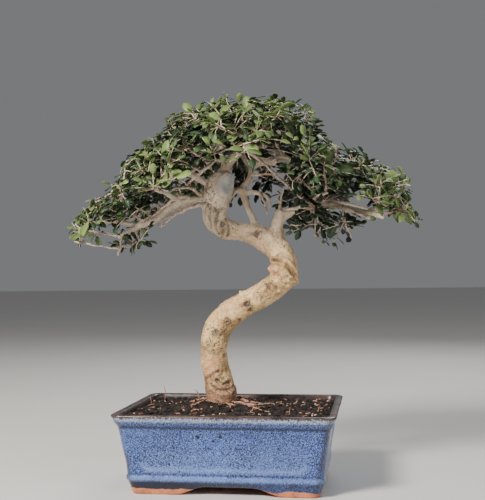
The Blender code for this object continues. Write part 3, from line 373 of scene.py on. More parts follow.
# Wood that stays in sight: a line across the picture as x, z to x, z, its half width, and how
# far forward leaves may come there
IN_SIGHT = (
    ((-14, 240), (-12, 267), 20, 14), ((-16, 266), (-58, 259), 9, 2),
    ((-58, 259), (-88, 241), 7, -14),
    ((30, 226), (18, 252), 10, 18), ((18, 252), (8, 280), 9, 22), ((42, 226), (48, 258), 9, 8),
    ((14, 300), (55, 299), 7, 12), ((95, 259), (146, 246), 6, -10), ((-14, 262), (44, 262), 20, 12),
)


def tone(red, green, blue):
    """A screen colour, from 0 to 255 each, as the linear colour that a shader takes."""
    def linear(value):
        value /= 255
        return value / 12.92 if value <= 0.04045 else ((value + 0.055) / 1.055) ** 2.4
    return tuple(linear(value) for value in (red, green, blue))


def smooth_share(value, low, high):
    """0 below low, 1 above high and a smooth rise between."""
    share = np.clip((value - low) / (high - low), 0, 1)
    return share * share * (3 - 2 * share)


# Objects and meshes

def leave_edit():
    bpy.ops.object.mode_set(mode="OBJECT")


def clear_selection():
    bpy.ops.object.select_all(action="DESELECT")


def select_only(*objs):
    """Selects these objects alone, with the first one active."""
    if bpy.context.object and bpy.context.mode != "OBJECT":
        leave_edit()
    clear_selection()
    for obj in objs:
        obj.select_set(True)
    bpy.context.view_layer.objects.active = objs[0]


def edit(obj):
    select_only(obj)
    bpy.ops.object.mode_set(mode="EDIT")


def shade_round(obj):
    select_only(obj)
    bpy.ops.object.shade_smooth()


def pick(obj, kind, test):
    """In edit mode, selects the vertices, edges or faces that pass a test, and no others."""
    bpy.ops.mesh.select_mode(type=kind)
    bpy.ops.mesh.select_all(action="DESELECT")
    mesh = bmesh.from_edit_mesh(obj.data)
    items = {"VERT": mesh.verts, "EDGE": mesh.edges, "FACE": mesh.faces}[kind]
    for item in items:
        if test(item):
            item.select_set(True)
    mesh.select_flush_mode()
    bmesh.update_edit_mesh(obj.data)


def apply_modifier(obj, kind, **settings):
    select_only(obj)
    modifier = obj.modifiers.new(kind.title(), kind)
    for name, value in settings.items():
        setattr(modifier, name, value)
    bpy.ops.object.modifier_apply(modifier=modifier.name)


def added(name):
    """Names the primitive just added, and puts its place and size into its mesh."""
    obj = bpy.context.object
    obj.name = obj.data.name = name
    bpy.ops.object.transform_apply(location=True, rotation=True, scale=True)
    return obj


def drill(obj, middle, radius, depth, sides):
    """Cuts a round upright hole, given in millimetres from the pot's middle."""
    clear_selection()
    bpy.ops.mesh.primitive_cylinder_add(vertices=sides, radius=radius * MM, depth=depth * MM,
                                        location=frame_place(middle))
    cutter = added("cutter")
    apply_modifier(obj, "BOOLEAN", operation="DIFFERENCE", object=cutter, solver="EXACT")
    bpy.data.objects.remove(cutter)


def numbers(items, field, width, kind=np.float32):
    """One field of all of a mesh's points, edges or corners, as rows of numbers."""
    values = np.empty(len(items) * width, kind)
    items.foreach_get(field, values)
    return values.reshape(-1, width)


def points_of(obj):
    """The mesh's points in millimetres from the pot's middle."""
    return numbers(obj.data.vertices, "co", 3).astype(float) / MM - SHIFT


def move_points(obj, points):
    obj.data.vertices.foreach_set("co", ((points + SHIFT) * MM).astype(np.float32).ravel())
    obj.data.update()


def mark(obj, name, values):
    """Keeps a number or a vector for each point of the mesh, for its material to read."""
    values = np.asarray(values, np.float32)
    kind, field = ("FLOAT", "value") if values.ndim == 1 else ("FLOAT_VECTOR", "vector")
    obj.data.attributes.new(name, kind, "POINT").data.foreach_set(field, values.ravel())


def frame_place(point):
    """A place in millimetres from the pot's middle, in the frame's metres."""
    return Vector((np.asarray(point, float) + SHIFT) * MM)


def round_tubes(name, lines, roundness):
    """Closed round tubes, each through its points of x, y, z and radius, as one mesh."""
    curve = bpy.data.curves.new(name, "CURVE")
    curve.dimensions = "3D"
    curve.bevel_depth = MM
    curve.bevel_resolution = roundness
    curve.use_fill_caps = True
    for line in lines:
        line = np.asarray(line, float)
        places = np.ones((len(line), 4))
        places[:, :3] = (line[:, :3] + SHIFT) * MM
        spline = curve.splines.new("POLY")
        spline.points.add(len(line) - 1)
        spline.points.foreach_set("co", places.ravel())
        spline.points.foreach_set("radius", line[:, 3])
    obj = bpy.data.objects.new(name, curve)
    bpy.context.scene.collection.objects.link(obj)
    select_only(obj)
    bpy.ops.object.convert(target="MESH")
    return bpy.context.object


def mesh_object(name, points, faces):
    """A mesh from points in millimetres from the pot's middle."""
    mesh = bpy.data.meshes.new(name)
    mesh.from_pydata(((np.asarray(points) + SHIFT) * MM).tolist(), [], faces)
    obj = bpy.data.objects.new(name, mesh)
    bpy.context.scene.collection.objects.link(obj)
    return obj


def finish_piece(obj, name, material=None, node=None):
    """Names a finished piece, gives it its material and hangs it on the frame."""
    obj.name = obj.data.name = name
    if material is not None:
        obj.data.materials.clear()
        obj.data.materials.append(material)
    if node is not None:
        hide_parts(node)
    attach(obj, "root")


def smooth_line(knots, step):
    """Points about a step apart on a smooth curve through the knots, of any dimension."""
    knots = [np.asarray(k, float) for k in knots]
    knots = [2 * knots[0] - knots[1], *knots, 2 * knots[-1] - knots[-2]]
    points = []
    for a, b, c, d in zip(knots, knots[1:], knots[2:], knots[3:]):
        count = max(1, round(float(np.linalg.norm(c[:3] - b[:3])) / step))
        for i in range(count):
            t = i / count
            points.append(0.5 * (2 * b + (c - a) * t + (2 * a - 5 * b + 4 * c - d) * t * t
                                 + (3 * b - 3 * c + d - a) * t * t * t))
    points.append(knots[-2])
    return np.array(points)


def unit(vector):
    return vector / max(float(np.linalg.norm(vector)), 1e-9)


def joined(shapes, faces):
    """Points and faces of many copies of one shape, each with its own points."""
    count = len(shapes[0])
    all_faces = [tuple(i + k * count for i in face) for k in range(len(shapes)) for face in faces]
    return np.concatenate(shapes), all_faces


# Shader recipes

class Recipe:
    """Adds nodes to one shader tree and joins them, so that a finish reads as a recipe."""

    def __init__(self, tree):
        self.tree = tree

    def feed(self, socket, value):
        if isinstance(value, bpy.types.NodeSocket):
            self.tree.links.new(value, socket)
        elif hasattr(value, "__len__") and len(value) == 3 and socket.type == "RGBA":
            socket.default_value = (*value, 1.0)
        else:
            socket.default_value = value

    def add(self, kind, inputs=None, **settings):
        node = self.tree.nodes.new(kind)
        for name, value in settings.items():
            setattr(node, name, value)
        for name, value in (inputs or {}).items():
            self.feed(node.inputs[name], value)
        return node

    def noise(self, vector, scale, detail=2.0, rough=0.5, twist=0.0):
        return self.add("ShaderNodeTexNoise", {
            "Vector": vector, "Scale": scale, "Detail": detail, "Roughness": rough,
            "Distortion": twist,
        }).outputs["Fac"]

    def maths(self, operation, first, second=0.0):
        return self.add("ShaderNodeMath", {0: first, 1: second}, operation=operation).outputs[0]

    def times(self, first, second):
        return self.maths("MULTIPLY", first, second)

    def plus(self, first, second):
        return self.maths("ADD", first, second)

    def minus(self, first, second):
        return self.maths("SUBTRACT", first, second)

    def most(self, first, second):
        return self.maths("MAXIMUM", first, second)

    def rise(self, value, low, high):
        """0 where the value is below low, 1 above high. It falls instead if low is the larger."""
        falls = low > high
        return self.add("ShaderNodeMapRange", {
            "Value": value, "From Min": min(low, high), "From Max": max(low, high),
            "To Min": float(falls), "To Max": float(not falls),
        }, interpolation_type="SMOOTHSTEP").outputs["Result"]

    def band(self, value, low, high, soft):
        """1 between low and high, with soft edges."""
        return self.times(self.rise(value, low - soft, low + soft),
                          self.rise(value, high + soft, high - soft))

    def blend(self, share, first, second):
        return self.add("ShaderNodeMix", {0: share, 6: first, 7: second},
                        data_type="RGBA").outputs[2]

    def over(self, body, mask, strength, colour):
        """The body's colour with another over it where the mask is 1, at a strength."""
        return self.blend(self.times(mask, strength), body, colour)

    def split(self, vector):
        return self.add("ShaderNodeSeparateXYZ", {"Vector": vector}).outputs

    def stretched(self, vector, scale):
        return self.add("ShaderNodeMapping", {"Vector": vector, "Scale": scale}).outputs[0]

    def marked(self, name, output="Fac"):
        return self.add("ShaderNodeAttribute", attribute_name=name).outputs[output]

    def height(self, vector):
        """The height of a place over the floor, in millimetres."""
        return self.times(self.split(vector)["Z"], 1000.0)

    def bump(self, height, distance, strength=1.0, normal=None):
        inputs = {"Height": height, "Distance": distance * MM, "Strength": strength}
        if normal is not None:
            inputs["Normal"] = normal
        return self.add("ShaderNodeBump", inputs).outputs["Normal"]

    def effect(self, name, **inputs):
        """Places a shared effect and gives its values."""
        return self.add("ShaderNodeGroup", inputs, node_tree=shared_effect(name)).outputs[0]

    def speckle(self, vector, scale, cover, softness):
        return self.effect("Speckle", Vector=vector, Scale=scale, Cover=cover, Softness=softness)

    def mottle(self, vector, scale, first, second):
        return self.effect("Mottle", Vector=vector, Scale=scale, First=first, Second=second)

    def surface(self, shader, colour, rough, normal):
        for name, value in (("Base Color", colour), ("Roughness", rough), ("Normal", normal)):
            self.feed(shader.inputs[name], value)


def speckle_effect(recipe, given):
    """Small spots: more of them the higher Cover is."""
    limit = recipe.minus(1.0, given["Cover"])
    return recipe.add("ShaderNodeMapRange", {
        "Value": recipe.noise(given["Vector"], given["Scale"], 1.0),
        "From Min": recipe.minus(limit, given["Softness"]),
        "From Max": recipe.plus(limit, given["Softness"]),
    }, interpolation_type="SMOOTHSTEP").outputs["Result"]


def mottle_effect(recipe, given):
    """A cloudy change between two colours, with finer clouds inside the large ones."""
    large = recipe.noise(given["Vector"], given["Scale"], 3.0, 0.6, 0.4)
    fine = recipe.noise(given["Vector"], recipe.times(given["Scale"], 5.0), 2.0, 0.6)
    both = recipe.plus(recipe.times(large, 0.65), recipe.times(fine, 0.35))
    return recipe.blend(recipe.rise(both, 0.38, 0.62), given["First"], given["Second"])


def fade_effect(recipe, given):
    """1 below a height in millimetres and 0 above, with a wavy edge."""
    wave = recipe.minus(recipe.noise(given["Vector"], given["Scale"], 3.0, 0.55), 0.5)
    height = recipe.plus(recipe.height(given["Vector"]), recipe.times(wave, given["Wave"]))
    above = recipe.maths("DIVIDE", recipe.minus(height, given["Height"]), given["Softness"])
    return recipe.rise(above, 0.5, -0.5)


# Shared effects: what builds each, the kind of its result and the names of its inputs
EFFECTS = {
    "Speckle": (speckle_effect, "Float", ("Vector", "Scale", "Cover", "Softness")),
    "Mottle": (mottle_effect, "Color", ("Vector", "Scale", "First", "Second")),
    "Low fade": (fade_effect, "Float", ("Vector", "Scale", "Height", "Softness", "Wave")),
}
INPUT_KINDS = {"Vector": "Vector", "First": "Color", "Second": "Color"}


def shared_effect(name):
    """The node group of a shared effect, built the first time it is asked for."""
    if name in bpy.data.node_groups:
        return bpy.data.node_groups[name]
    build, gives, takes = EFFECTS[name]
    group = bpy.data.node_groups.new(name, "ShaderNodeTree")
    for socket in takes:
        group.interface.new_socket(socket, in_out="INPUT",
                                   socket_type="NodeSocket" + INPUT_KINDS.get(socket, "Float"))
    group.interface.new_socket("Result", in_out="OUTPUT", socket_type="NodeSocket" + gives)
    recipe = Recipe(group)
    given = recipe.add("NodeGroupInput").outputs
    recipe.feed(recipe.add("NodeGroupOutput").inputs[0], build(recipe, given))
    return group


def new_finish(name):
    """A material, its shader, the recipe that fills it and the place on the piece."""
    material = bpy.data.materials.new(name)
    material.use_nodes = True
    mix = Recipe(material.node_tree)
    place = mix.add("ShaderNodeTexCoord").outputs["Object"]
    return material, material.node_tree.nodes["Principled BSDF"], mix, place


def dimmed(colour, share):
    return tuple(share * value for value in colour)


def glaze_finish():
    """Speckled blue glaze that breaks pale on edges, with a dark rim and bare clay feet, painted
    highlights on the panels and the bead, and painted shade in the groove under the lip and above
    the bead.
    """
    colours = bpy.context.scene.bonsai_pot
    material, shader, mix, place = new_finish("speckled_glaze")
    height = mix.height(place)
    reach = mix.marked("reach")
    flow = mix.noise(mix.stretched(place, (1.0, 1.0, 0.4)), 90.0, 3.0, 0.6)
    body = mix.mottle(place, 22.0, colours.glaze, colours.glaze_deep)
    # Painted highlight over the lower half of the panels.
    painted_panel_highlight = mix.times(mix.band(height, 23.0, 40.0, 6.0), mix.marked("panel"))
    body = mix.over(body, painted_panel_highlight, 0.2, colours.glaze_pale_and_highlight)
    body = mix.over(body, mix.rise(height, 44.0, 60.0), 0.5, colours.glaze_deep)
    body = mix.over(body, mix.speckle(place, 1300.0, 0.5, 0.06), 0.66, colours.glaze_pale_and_highlight)
    dark = mix.speckle(mix.stretched(place, (1.0, 1.0, 0.8)), 1150.0, 0.46, 0.05)
    clumps = mix.rise(mix.noise(place, 46.0, 2.0), 0.3, 0.62)
    body = mix.over(body, dark, mix.plus(mix.times(clumps, 0.22), 0.7), colours.glaze_dark_and_shade)
    # Painted highlight along the bead above the foot, streaked with the flow.
    bead = mix.band(height, 13.2, 17.2, 1.3)
    body = mix.over(body, bead, mix.times(flow, 0.8), colours.glaze_pale_and_highlight)
    # Painted highlight on the panels' lower edge.
    painted_ledge_highlight = mix.times(mix.marked("panel_edge"), mix.rise(height, 31.0, 25.0))
    body = mix.over(body, painted_ledge_highlight, 0.45, colours.glaze_pale_and_highlight)
    # Painted shade: a dark line in the waist above the bead.
    body = mix.over(body, mix.band(height, 18.2, 19.6, 0.9), 0.5, colours.glaze_dark_and_shade)
    wavy_height = mix.plus(height, mix.times(flow, 2.4))
    to_right = mix.rise(mix.split(place)["X"], -0.06, 0.08)
    low_share = mix.minus(0.95, mix.times(to_right, mix.times(flow, 0.9)))
    body = mix.over(body, mix.band(wavy_height, 5.0, 13.3, 1.2), low_share, colours.glaze_dark_and_shade)
    # Painted shade in the cove under the lip.
    groove = mix.times(mix.band(wavy_height, 60.4, 63.2, 1.3), mix.rise(reach, 5.0, 7.5))
    body = mix.over(body, groove, 0.82, colours.groove_shade)
    streaks = mix.noise(mix.stretched(place, (1.0, 1.0, 0.3)), 520.0, 3.0, 0.65)
    frost = mix.band(mix.plus(reach, mix.times(streaks, 3.0)), 1.6, 6.2, 1.6)
    frost = mix.times(frost, mix.rise(mix.noise(place, 900.0, 2.0, 0.6), 0.36, 0.58))
    body = mix.over(body, frost, 0.75, colours.glaze_break)
    corner = mix.times(mix.marked("corner"), mix.rise(flow, 0.4, 0.6))
    body = mix.over(body, corner, 0.6, colours.rim)
    holes = pinhole_mask(mix, place)
    body = mix.blend(holes, body, colours.glaze_pit)
    rim = mix.rise(mix.plus(reach, mix.times(mix.minus(streaks, 0.5), 9.0)), 1.6, 0.2)
    body = mix.blend(rim, body, mix.mottle(place, 60.0, colours.rim, colours.rim_light))
    clay = mix.effect("Low fade", Vector=place, Scale=34.0, Height=5.0, Softness=0.8, Wave=13.0)
    clay = mix.most(clay, mix.rise(height, 1.6, 0.8))
    clay = mix.most(clay, mix.rise(reach, 84.0, 87.0))
    body = mix.blend(clay, body, mix.mottle(place, 70.0, colours.clay, colours.clay_dark))
    dull = mix.most(clay, mix.times(rim, 0.12))
    rough = mix.plus(mix.times(dull, 0.62), mix.times(mix.noise(place, 90.0, 2.0), 0.24))
    mix.feed(shader.inputs["Coat Weight"], mix.times(mix.minus(1.0, dull), 0.22))
    shader.inputs["Coat Roughness"].default_value = 0.12
    skin = mix.bump(mix.noise(place, 150.0, 3.0, 0.55), 0.3, 0.5)
    skin = mix.bump(holes, -0.6, 0.9, skin)
    grain = mix.times(mix.noise(place, 1500.0, 2.0), clay)
    mix.surface(shader, body, mix.plus(rough, 0.1), mix.bump(grain, 0.25, 0.6, skin))
    return material


def pinhole_mask(mix, place):
    """1 in the small pits of the front's glaze."""
    split = mix.split(place)
    on_front = mix.rise(split["Y"], -0.055, -0.06)
    wobble = mix.times(mix.minus(mix.noise(place, 700.0), 0.5), 0.0016)
    mask = 0.0
    for x, z, radius in PINHOLES:
        dx = mix.minus(split["X"], (x + SHIFT[0]) * MM)
        dz = mix.minus(split["Z"], z * MM)
        away = mix.maths("SQRT", mix.plus(mix.times(dx, dx), mix.times(dz, dz)))
        pit = mix.rise(mix.plus(away, wobble), radius * 1.15 * MM, radius * 0.7 * MM)
        mask = mix.most(mask, pit)
    return mix.times(mask, on_front)


def bark_finish():
    """Smooth cream and tan bark with stains, speckles, lenticels and greyer limbs, and painted
    shade in the hollows of its scars and creases.
    """
    colours = bpy.context.scene.bonsai_wood
    material, shader, mix, place = new_finish("elm_bark")
    line = mix.marked("bark_place", "Vector")
    girth = mix.marked("girth")
    body = mix.mottle(place, 55.0, colours.bark, colours.bark_tan)
    blush = mix.rise(mix.noise(place, 38.0, 3.0, 0.6, 0.6), 0.48, 0.66)
    body = mix.over(body, blush, 0.55, colours.bark_blush)
    film = mix.rise(mix.noise(place, 48.0, 4.0, 0.7, 1.0), 0.5, 0.7)
    body = mix.over(body, film, 0.6, colours.bark_olive)
    thin = mix.times(mix.rise(girth, 9.0, 4.5), 0.75)
    high = mix.times(mix.rise(mix.height(place), 200.0, 262.0), 0.7)
    body = mix.blend(mix.most(thin, high), body,
                     mix.mottle(place, 80.0, colours.bark_grey, colours.bark_pale))
    foot = mix.effect("Low fade", Vector=place, Scale=60.0, Height=98.0, Softness=26.0, Wave=60.0)
    body = mix.over(body, foot, 0.74, colours.bark_foot)
    cloud = mix.noise(place, 170.0, 6.0, 0.78, 0.6)
    blots = mix.rise(mix.plus(cloud, mix.times(mix.marked("stain"), 0.27)), 0.6, 0.68)
    body = mix.over(body, blots, 0.78, colours.bark_brown)
    dots = mix.speckle(place, 560.0, 0.35, 0.02)
    slits = mix.speckle(mix.stretched(line, (0.7, 0.7, 1.7)), 380.0, 0.3, 0.02)
    patch = mix.plus(mix.times(mix.rise(mix.noise(place, 45.0, 2.0), 0.4, 0.58), 0.7), 0.3)
    spots = mix.times(mix.times(mix.most(dots, slits), patch), mix.rise(girth, 1.0, 8.0))
    body = mix.over(body, spots, 0.85, colours.bark_spot_and_shade)
    # Painted shade in the hollows of the scars and in the creases.
    deep = mix.times(mix.marked("hollow"), mix.plus(mix.rise(cloud, 0.35, 0.6), 0.35))
    body = mix.over(body, deep, 0.85, colours.bark_spot_and_shade)
    body = mix.over(body, mix.speckle(place, 900.0, 0.43, 0.05), 0.18, colours.bark_pale)
    body = mix.blend(mix.marked("scar"), body, colours.bark_scar)
    rough = mix.plus(mix.times(mix.noise(line, 300.0, 2.0), 0.3), 0.5)
    rings = mix.noise(mix.stretched(line, (0.35, 0.35, 2.2)), 420.0, 3.0, 0.6, 0.8)
    skin = mix.bump(rings, 0.55, 0.6)
    skin = mix.bump(mix.noise(line, 700.0, 3.0, 0.65), 0.4, 0.6, skin)
    mix.surface(shader, body, rough, mix.bump(mix.most(spots, blots), -0.3, 0.6, skin))
    return material


def twig_finish(name, pale, brown):
    """Thin bark: pale pinkish beige, browner in patches, with fine dark dots."""
    material, shader, mix, place = new_finish(name)
    body = mix.mottle(place, 90.0, pale, brown)
    body = mix.over(body, mix.speckle(place, 700.0, 0.4, 0.04), 0.5, dimmed(brown, 0.35))
    mix.surface(shader, body, 0.72, mix.bump(mix.noise(place, 1200.0, 2.0, 0.6), 0.25, 0.6))
    return material


def leaf_finish():
    """Leaves from bright yellow green at the tips and the crown's skin to dark green inside, with
    raised veins. The change is partly the leaves' age and partly painted light: painted shade
    inside the crown, brighter at its skin.
    """
    colours = bpy.context.scene.bonsai_leaf
    material, shader, mix, place = new_finish("elm_leaf")
    chart = mix.split(mix.add("ShaderNodeUVMap", uv_map="leaf_chart").outputs["UV"])
    off_middle = mix.maths("ABSOLUTE", mix.minus(chart["X"], 0.5))
    age_and_light = mix.marked("age_and_light")
    # Painted light: leaves go dark inside the crown as painted shade and bright at its skin,
    # besides being younger and paler towards the twigs' tips.
    body = mix.blend(mix.rise(age_and_light, 0.1, 0.75), colours.inner, colours.middle)
    body = mix.blend(mix.rise(age_and_light, 0.6, 1.05), body, colours.tip)
    body = mix.over(body, mix.marked("tint"), 0.55, colours.dark)
    blot = mix.rise(mix.noise(place, 260.0, 2.0), 0.45, 0.7)
    body = mix.over(body, blot, 0.3, colours.dark)
    midrib = mix.rise(off_middle, 0.055, 0.015)
    slope = mix.minus(chart["Y"], mix.times(off_middle, 0.55))
    wave = mix.maths("SINE", mix.times(slope, 75.0))
    side_veins = mix.times(mix.rise(wave, 0.72, 1.0), mix.rise(off_middle, 0.5, 0.3))
    veins = mix.most(midrib, mix.times(side_veins, 0.6))
    body = mix.over(body, veins, mix.plus(mix.times(age_and_light, 0.2), 0.07), colours.vein)
    body = mix.over(body, mix.rise(chart["Y"], 0.14, 0.06), 0.6, colours.vein)
    shader.inputs["Specular IOR Level"].default_value = 0.4
    skin = mix.bump(veins, -0.12, 0.6)
    mix.surface(shader, body, mix.plus(mix.times(blot, 0.12), 0.4),
                mix.bump(mix.noise(place, 900.0, 2.0), 0.1, 0.4, skin))
    glow = mix.add("ShaderNodeBsdfTranslucent", {"Color": mix.blend(0.35, body, colours.tip)})
    both = mix.add("ShaderNodeMixShader", {0: 0.2, 1: shader.outputs[0], 2: glow.outputs[0]})
    mix.feed(material.node_tree.nodes["Material Output"].inputs["Surface"], both.outputs[0])
    return material


def soil_finish():
    """Near black soil with brown and reddish crumbs."""
    colours = bpy.context.scene.bonsai_soil
    material, shader, mix, place = new_finish("dark_soil")
    body = mix.mottle(place, 130.0, colours.soil, colours.soil_brown)
    body = mix.over(body, mix.speckle(place, 520.0, 0.37, 0.02), 0.5, colours.soil_red)
    mix.surface(shader, body, 0.92, mix.bump(mix.noise(place, 800.0, 4.0, 0.7), 0.9, 0.9))
    return material


def crumb_finish(name, first, second, third):
    """Crumbs of soil: each has its own colour between two, and some take a third."""
    material, shader, mix, place = new_finish(name)
    tint = mix.marked("tint")
    body = mix.blend(mix.rise(tint, 0.2, 0.8), first, second)
    body = mix.blend(mix.rise(tint, 0.9, 0.95), body, third)
    dust = mix.rise(mix.noise(place, 900.0, 3.0, 0.6), 0.45, 0.75)
    body = mix.over(body, dust, 0.5, dimmed(first, 0.4))
    mix.surface(shader, body, 0.88, mix.bump(mix.noise(place, 1400.0, 3.0, 0.6), 0.4, 0.8))
    return material


def screen_finish():
    """Black moulded plastic with a fine texture and a dusting of soil."""
    colours = bpy.context.scene.bonsai_soil
    material, shader, mix, place = new_finish("drainage_plastic")
    dust = mix.rise(mix.noise(place, 300.0, 4.0, 0.6), 0.5, 0.7)
    body = mix.over(colours.screen, dust, 0.6, colours.soil_brown)
    mix.surface(shader, body, mix.plus(mix.times(dust, 0.35), 0.45),
                mix.bump(mix.noise(place, 1500.0, 1.0), 0.1, 0.5))
    return material


# Pot

def arch_height(across, half, shoulder):
    """How high a foot's gap rises at a distance from its middle."""
    share = np.clip((half - np.abs(across)) / shoulder, 0, 1)
    return ARCH_RISE * (0.5 - 0.5 * np.cos(share * math.pi))


def shape_pot(points, rings):
    """Cuts the feet's arches, presses the panels and gives the glaze its slight unevenness."""
    x, y, z = points.T
    inset, level = (np.array(values)[rings] for values in zip(*POT_SECTION))
    half = POT_HALF - inset[:, None]
    on_front = half[:, 1] - np.abs(y) < 0.5
    on_side = half[:, 0] - np.abs(x) < 0.5
    top = np.where(rings < UNDERSIDE_RINGS, POT_SECTION[0][1], FOOT_TOP)
    rise = np.where(on_front, arch_height(x - ARCH_ASIDE, ARCH_HALF[0], ARCH_SHOULDER[0]), 0)
    rise = np.where(on_side & ~on_front, arch_height(y, ARCH_HALF[1], ARCH_SHOULDER[1]), rise)
    foot = (rings < FOOT_RINGS) & (z < top)
    z = np.where(foot, rise + z * (top - rise) / top, z)
    across = np.where(on_front, np.abs(x), np.abs(y))
    width = np.where(on_front, half[:, 0], half[:, 1]) - PANEL_MARGIN
    middle, reach = (PANEL_TOP + PANEL_BOTTOM) / 2, (PANEL_TOP - PANEL_BOTTOM) / 2
    out_x = np.maximum(across - width + PANEL_CORNER, 0)
    out_z = np.maximum(np.abs(level - middle) - reach + PANEL_CORNER, 0)
    outside = np.hypot(out_x, out_z) - PANEL_CORNER
    wall = (on_front | on_side) & (rings > WALL_RINGS[0]) & (rings < WALL_RINGS[1])
    inside = np.where(wall, smooth_share(-outside, -2.6, 2.6), 0)
    rim_line = np.where(wall, np.exp(-((outside - 1.0) / 2.0) ** 2), 0)
    y = y - np.where(on_front, np.sign(y) * PANEL_DEPTH * inside, 0)
    x = x - np.where(on_side & ~on_front, np.sign(x) * PANEL_DEPTH * inside, 0)
    shaped = np.stack((x, y, z), axis=1)
    uneven = [0.4 * noise.noise(Vector(p) * 0.045) + 0.14 * noise.noise(Vector(p) * 0.16)
              for p in shaped]
    away = np.stack((x, y, np.zeros(len(x))), axis=1)
    away /= np.maximum(np.linalg.norm(away, axis=1), 1e-6)[:, None]
    shaped += away * np.where(rings > FOOT_RINGS, uneven, 0)[:, None]
    return shaped, rim_line, inside


def pot_reach():
    """How far each ring lies from the lip's top edge along the section, less than 0 inside."""
    section = np.array(POT_SECTION)
    steps = np.linalg.norm(np.diff(section, axis=0), axis=1)
    along = np.concatenate(([0], np.cumsum(steps)))
    return along[POT_SECTION.index(LIP_TOP)] - along


def raise_pot():
    """The pot's rings, extruded one after another from the underside round to the inner floor."""
    centre = frame_place((0, 0, 0))
    (inset, low), rest = POT_SECTION[0], POT_SECTION[1:]
    clear_selection()
    bpy.ops.mesh.primitive_plane_add(size=1, location=frame_place((0, 0, low)))
    bpy.context.object.scale = (*(2 * (POT_HALF - inset) * MM), 1)
    pot = added("pot_glazed")
    edit(pot)
    bpy.ops.mesh.select_all(action="SELECT")
    bpy.ops.mesh.bevel(affect="VERTICES", offset=CORNER_ROUND * MM, segments=6)
    bpy.ops.mesh.delete(type="ONLY_FACE")
    for cuts, longest in ((59, 0.12), (41, 0.08)):
        pick(pot, "EDGE", lambda e: e.calc_length() > longest)
        bpy.ops.mesh.subdivide(number_cuts=cuts)
    pick(pot, "EDGE", lambda e: True)
    for inset_now, level in rest:
        grow = (POT_HALF - inset_now) / (POT_HALF - inset)
        bpy.ops.mesh.extrude_edges_move(
            TRANSFORM_OT_translate={"value": (0, 0, (level - low) * MM)})
        bpy.ops.transform.resize(value=(grow[0], grow[1], 1), center_override=centre)
        inset, low = inset_now, level
    for level in (POT_SECTION[0][1], POT_SECTION[-1][1]):
        pick(pot, "EDGE", lambda e: e.is_boundary and abs(e.verts[0].co.z - level * MM) < 1e-5)
        bpy.ops.mesh.edge_face_add()
    bpy.ops.mesh.select_all(action="SELECT")
    bpy.ops.mesh.normals_make_consistent(inside=False)
    leave_edit()
    return pot


def bare_drain_holes(pot):
    """Marks the floor round the drain holes as lying out of the glaze's reach."""
    in_floor = np.all(np.abs(points_of(pot)) < DRAIN_FLOOR, axis=1)
    marks = pot.data.attributes["reach"].data
    reach = numbers(marks, "value", 1).ravel()
    reach[in_floor] = NO_GLAZE
    marks.foreach_set("value", reach)


def make_pot():
    pot = raise_pot()
    points = points_of(pot)
    rings = np.arange(len(points)) // (len(points) // len(POT_SECTION))
    from_edge = POT_HALF - np.array(POT_SECTION)[rings, :1] - np.abs(points[:, :2])
    shaped, rim_line, inside = shape_pot(points, rings)
    move_points(pot, shaped)
    mark(pot, "reach", pot_reach()[rings])
    mark(pot, "corner", 1 - smooth_share(from_edge.max(axis=1), 3.0, 9.0))
    mark(pot, "panel_edge", rim_line)
    mark(pot, "panel", inside)
    for x in DRAIN_PLACES:
        drill(pot, (x, 0, DRAIN_CUT[0]), DRAIN_RADIUS, DRAIN_CUT[1], 40)
    bare_drain_holes(pot)
    select_only(pot)
    bpy.ops.object.shade_smooth_by_angle(angle=math.radians(50))
    finish_piece(pot, "pot_glazed", glaze_finish(), "pot")


# Soil

def soil_height(x, y):
    """The soil's surface: a low mound at the trunk with gentle lumps, lower at the wall."""
    away = math.hypot(x - TRUNK_X, y)
    mound = MOUND_HEIGHT * math.exp(-((away / MOUND_SPREAD) ** 2))
    lumps = 1.6 * noise.noise(Vector((x * 0.05, y * 0.05, 3.0)))
    return SOIL_EDGE + mound + lumps


def soil_skin(x, y):
    """The soil's surface with its crumbly detail."""
    fine = 1.1 * noise.noise(Vector((x * 0.17, y * 0.17, 9.0)))
    fine += 0.7 * noise.noise(Vector((x * 0.45, y * 0.45, 5.0)))
    return soil_height(x, y) + fine


def make_soil_block():
    half, low_half = POT_HALF - SOIL_EDGE_INSET, POT_HALF - SOIL_BOTTOM_INSET
    depth = SOIL_EDGE - SOIL_BOTTOM
    clear_selection()
    bpy.ops.mesh.primitive_cube_add(size=1, location=frame_place((0, 0, SOIL_BOTTOM + depth / 2)))
    bpy.context.object.scale = (*(2 * half * MM), depth * MM)
    soil = added("soil_surface")
    edit(soil)
    pick(soil, "FACE", lambda f: f.normal.z < -0.5)
    bpy.ops.transform.resize(value=(*(low_half / half), 1), center_override=frame_place((0, 0, 0)))
    pick(soil, "EDGE", lambda e: abs(e.verts[0].co.z - e.verts[1].co.z) > 0.01)
    bpy.ops.mesh.bevel(offset=SOIL_CORNER * MM, segments=5)
    leave_edit()
    apply_modifier(soil, "REMESH", mode="VOXEL", voxel_size=SOIL_FACE * MM)
    points = points_of(soil)
    for point in points:
        if point[2] > SOIL_EDGE - SOIL_SURFACE_BAND:
            point[2] = soil_skin(point[0], point[1])
    move_points(soil, points)
    drill(soil, (TRUNK_X, 0, PLUG_BOTTOM + PLUG_CUT[0]), PLUG_HOLE, PLUG_CUT[1], 48)
    shade_round(soil)
    finish_piece(soil, "soil_surface", soil_finish(), "soil")


def taken_apart(obj):
    """The points and faces of a shape that is only a pattern, which is then removed."""
    shape = np.array([v.co for v in obj.data.vertices])
    faces = [tuple(f.vertices) for f in obj.data.polygons]
    bpy.data.objects.remove(obj)
    return shape, faces


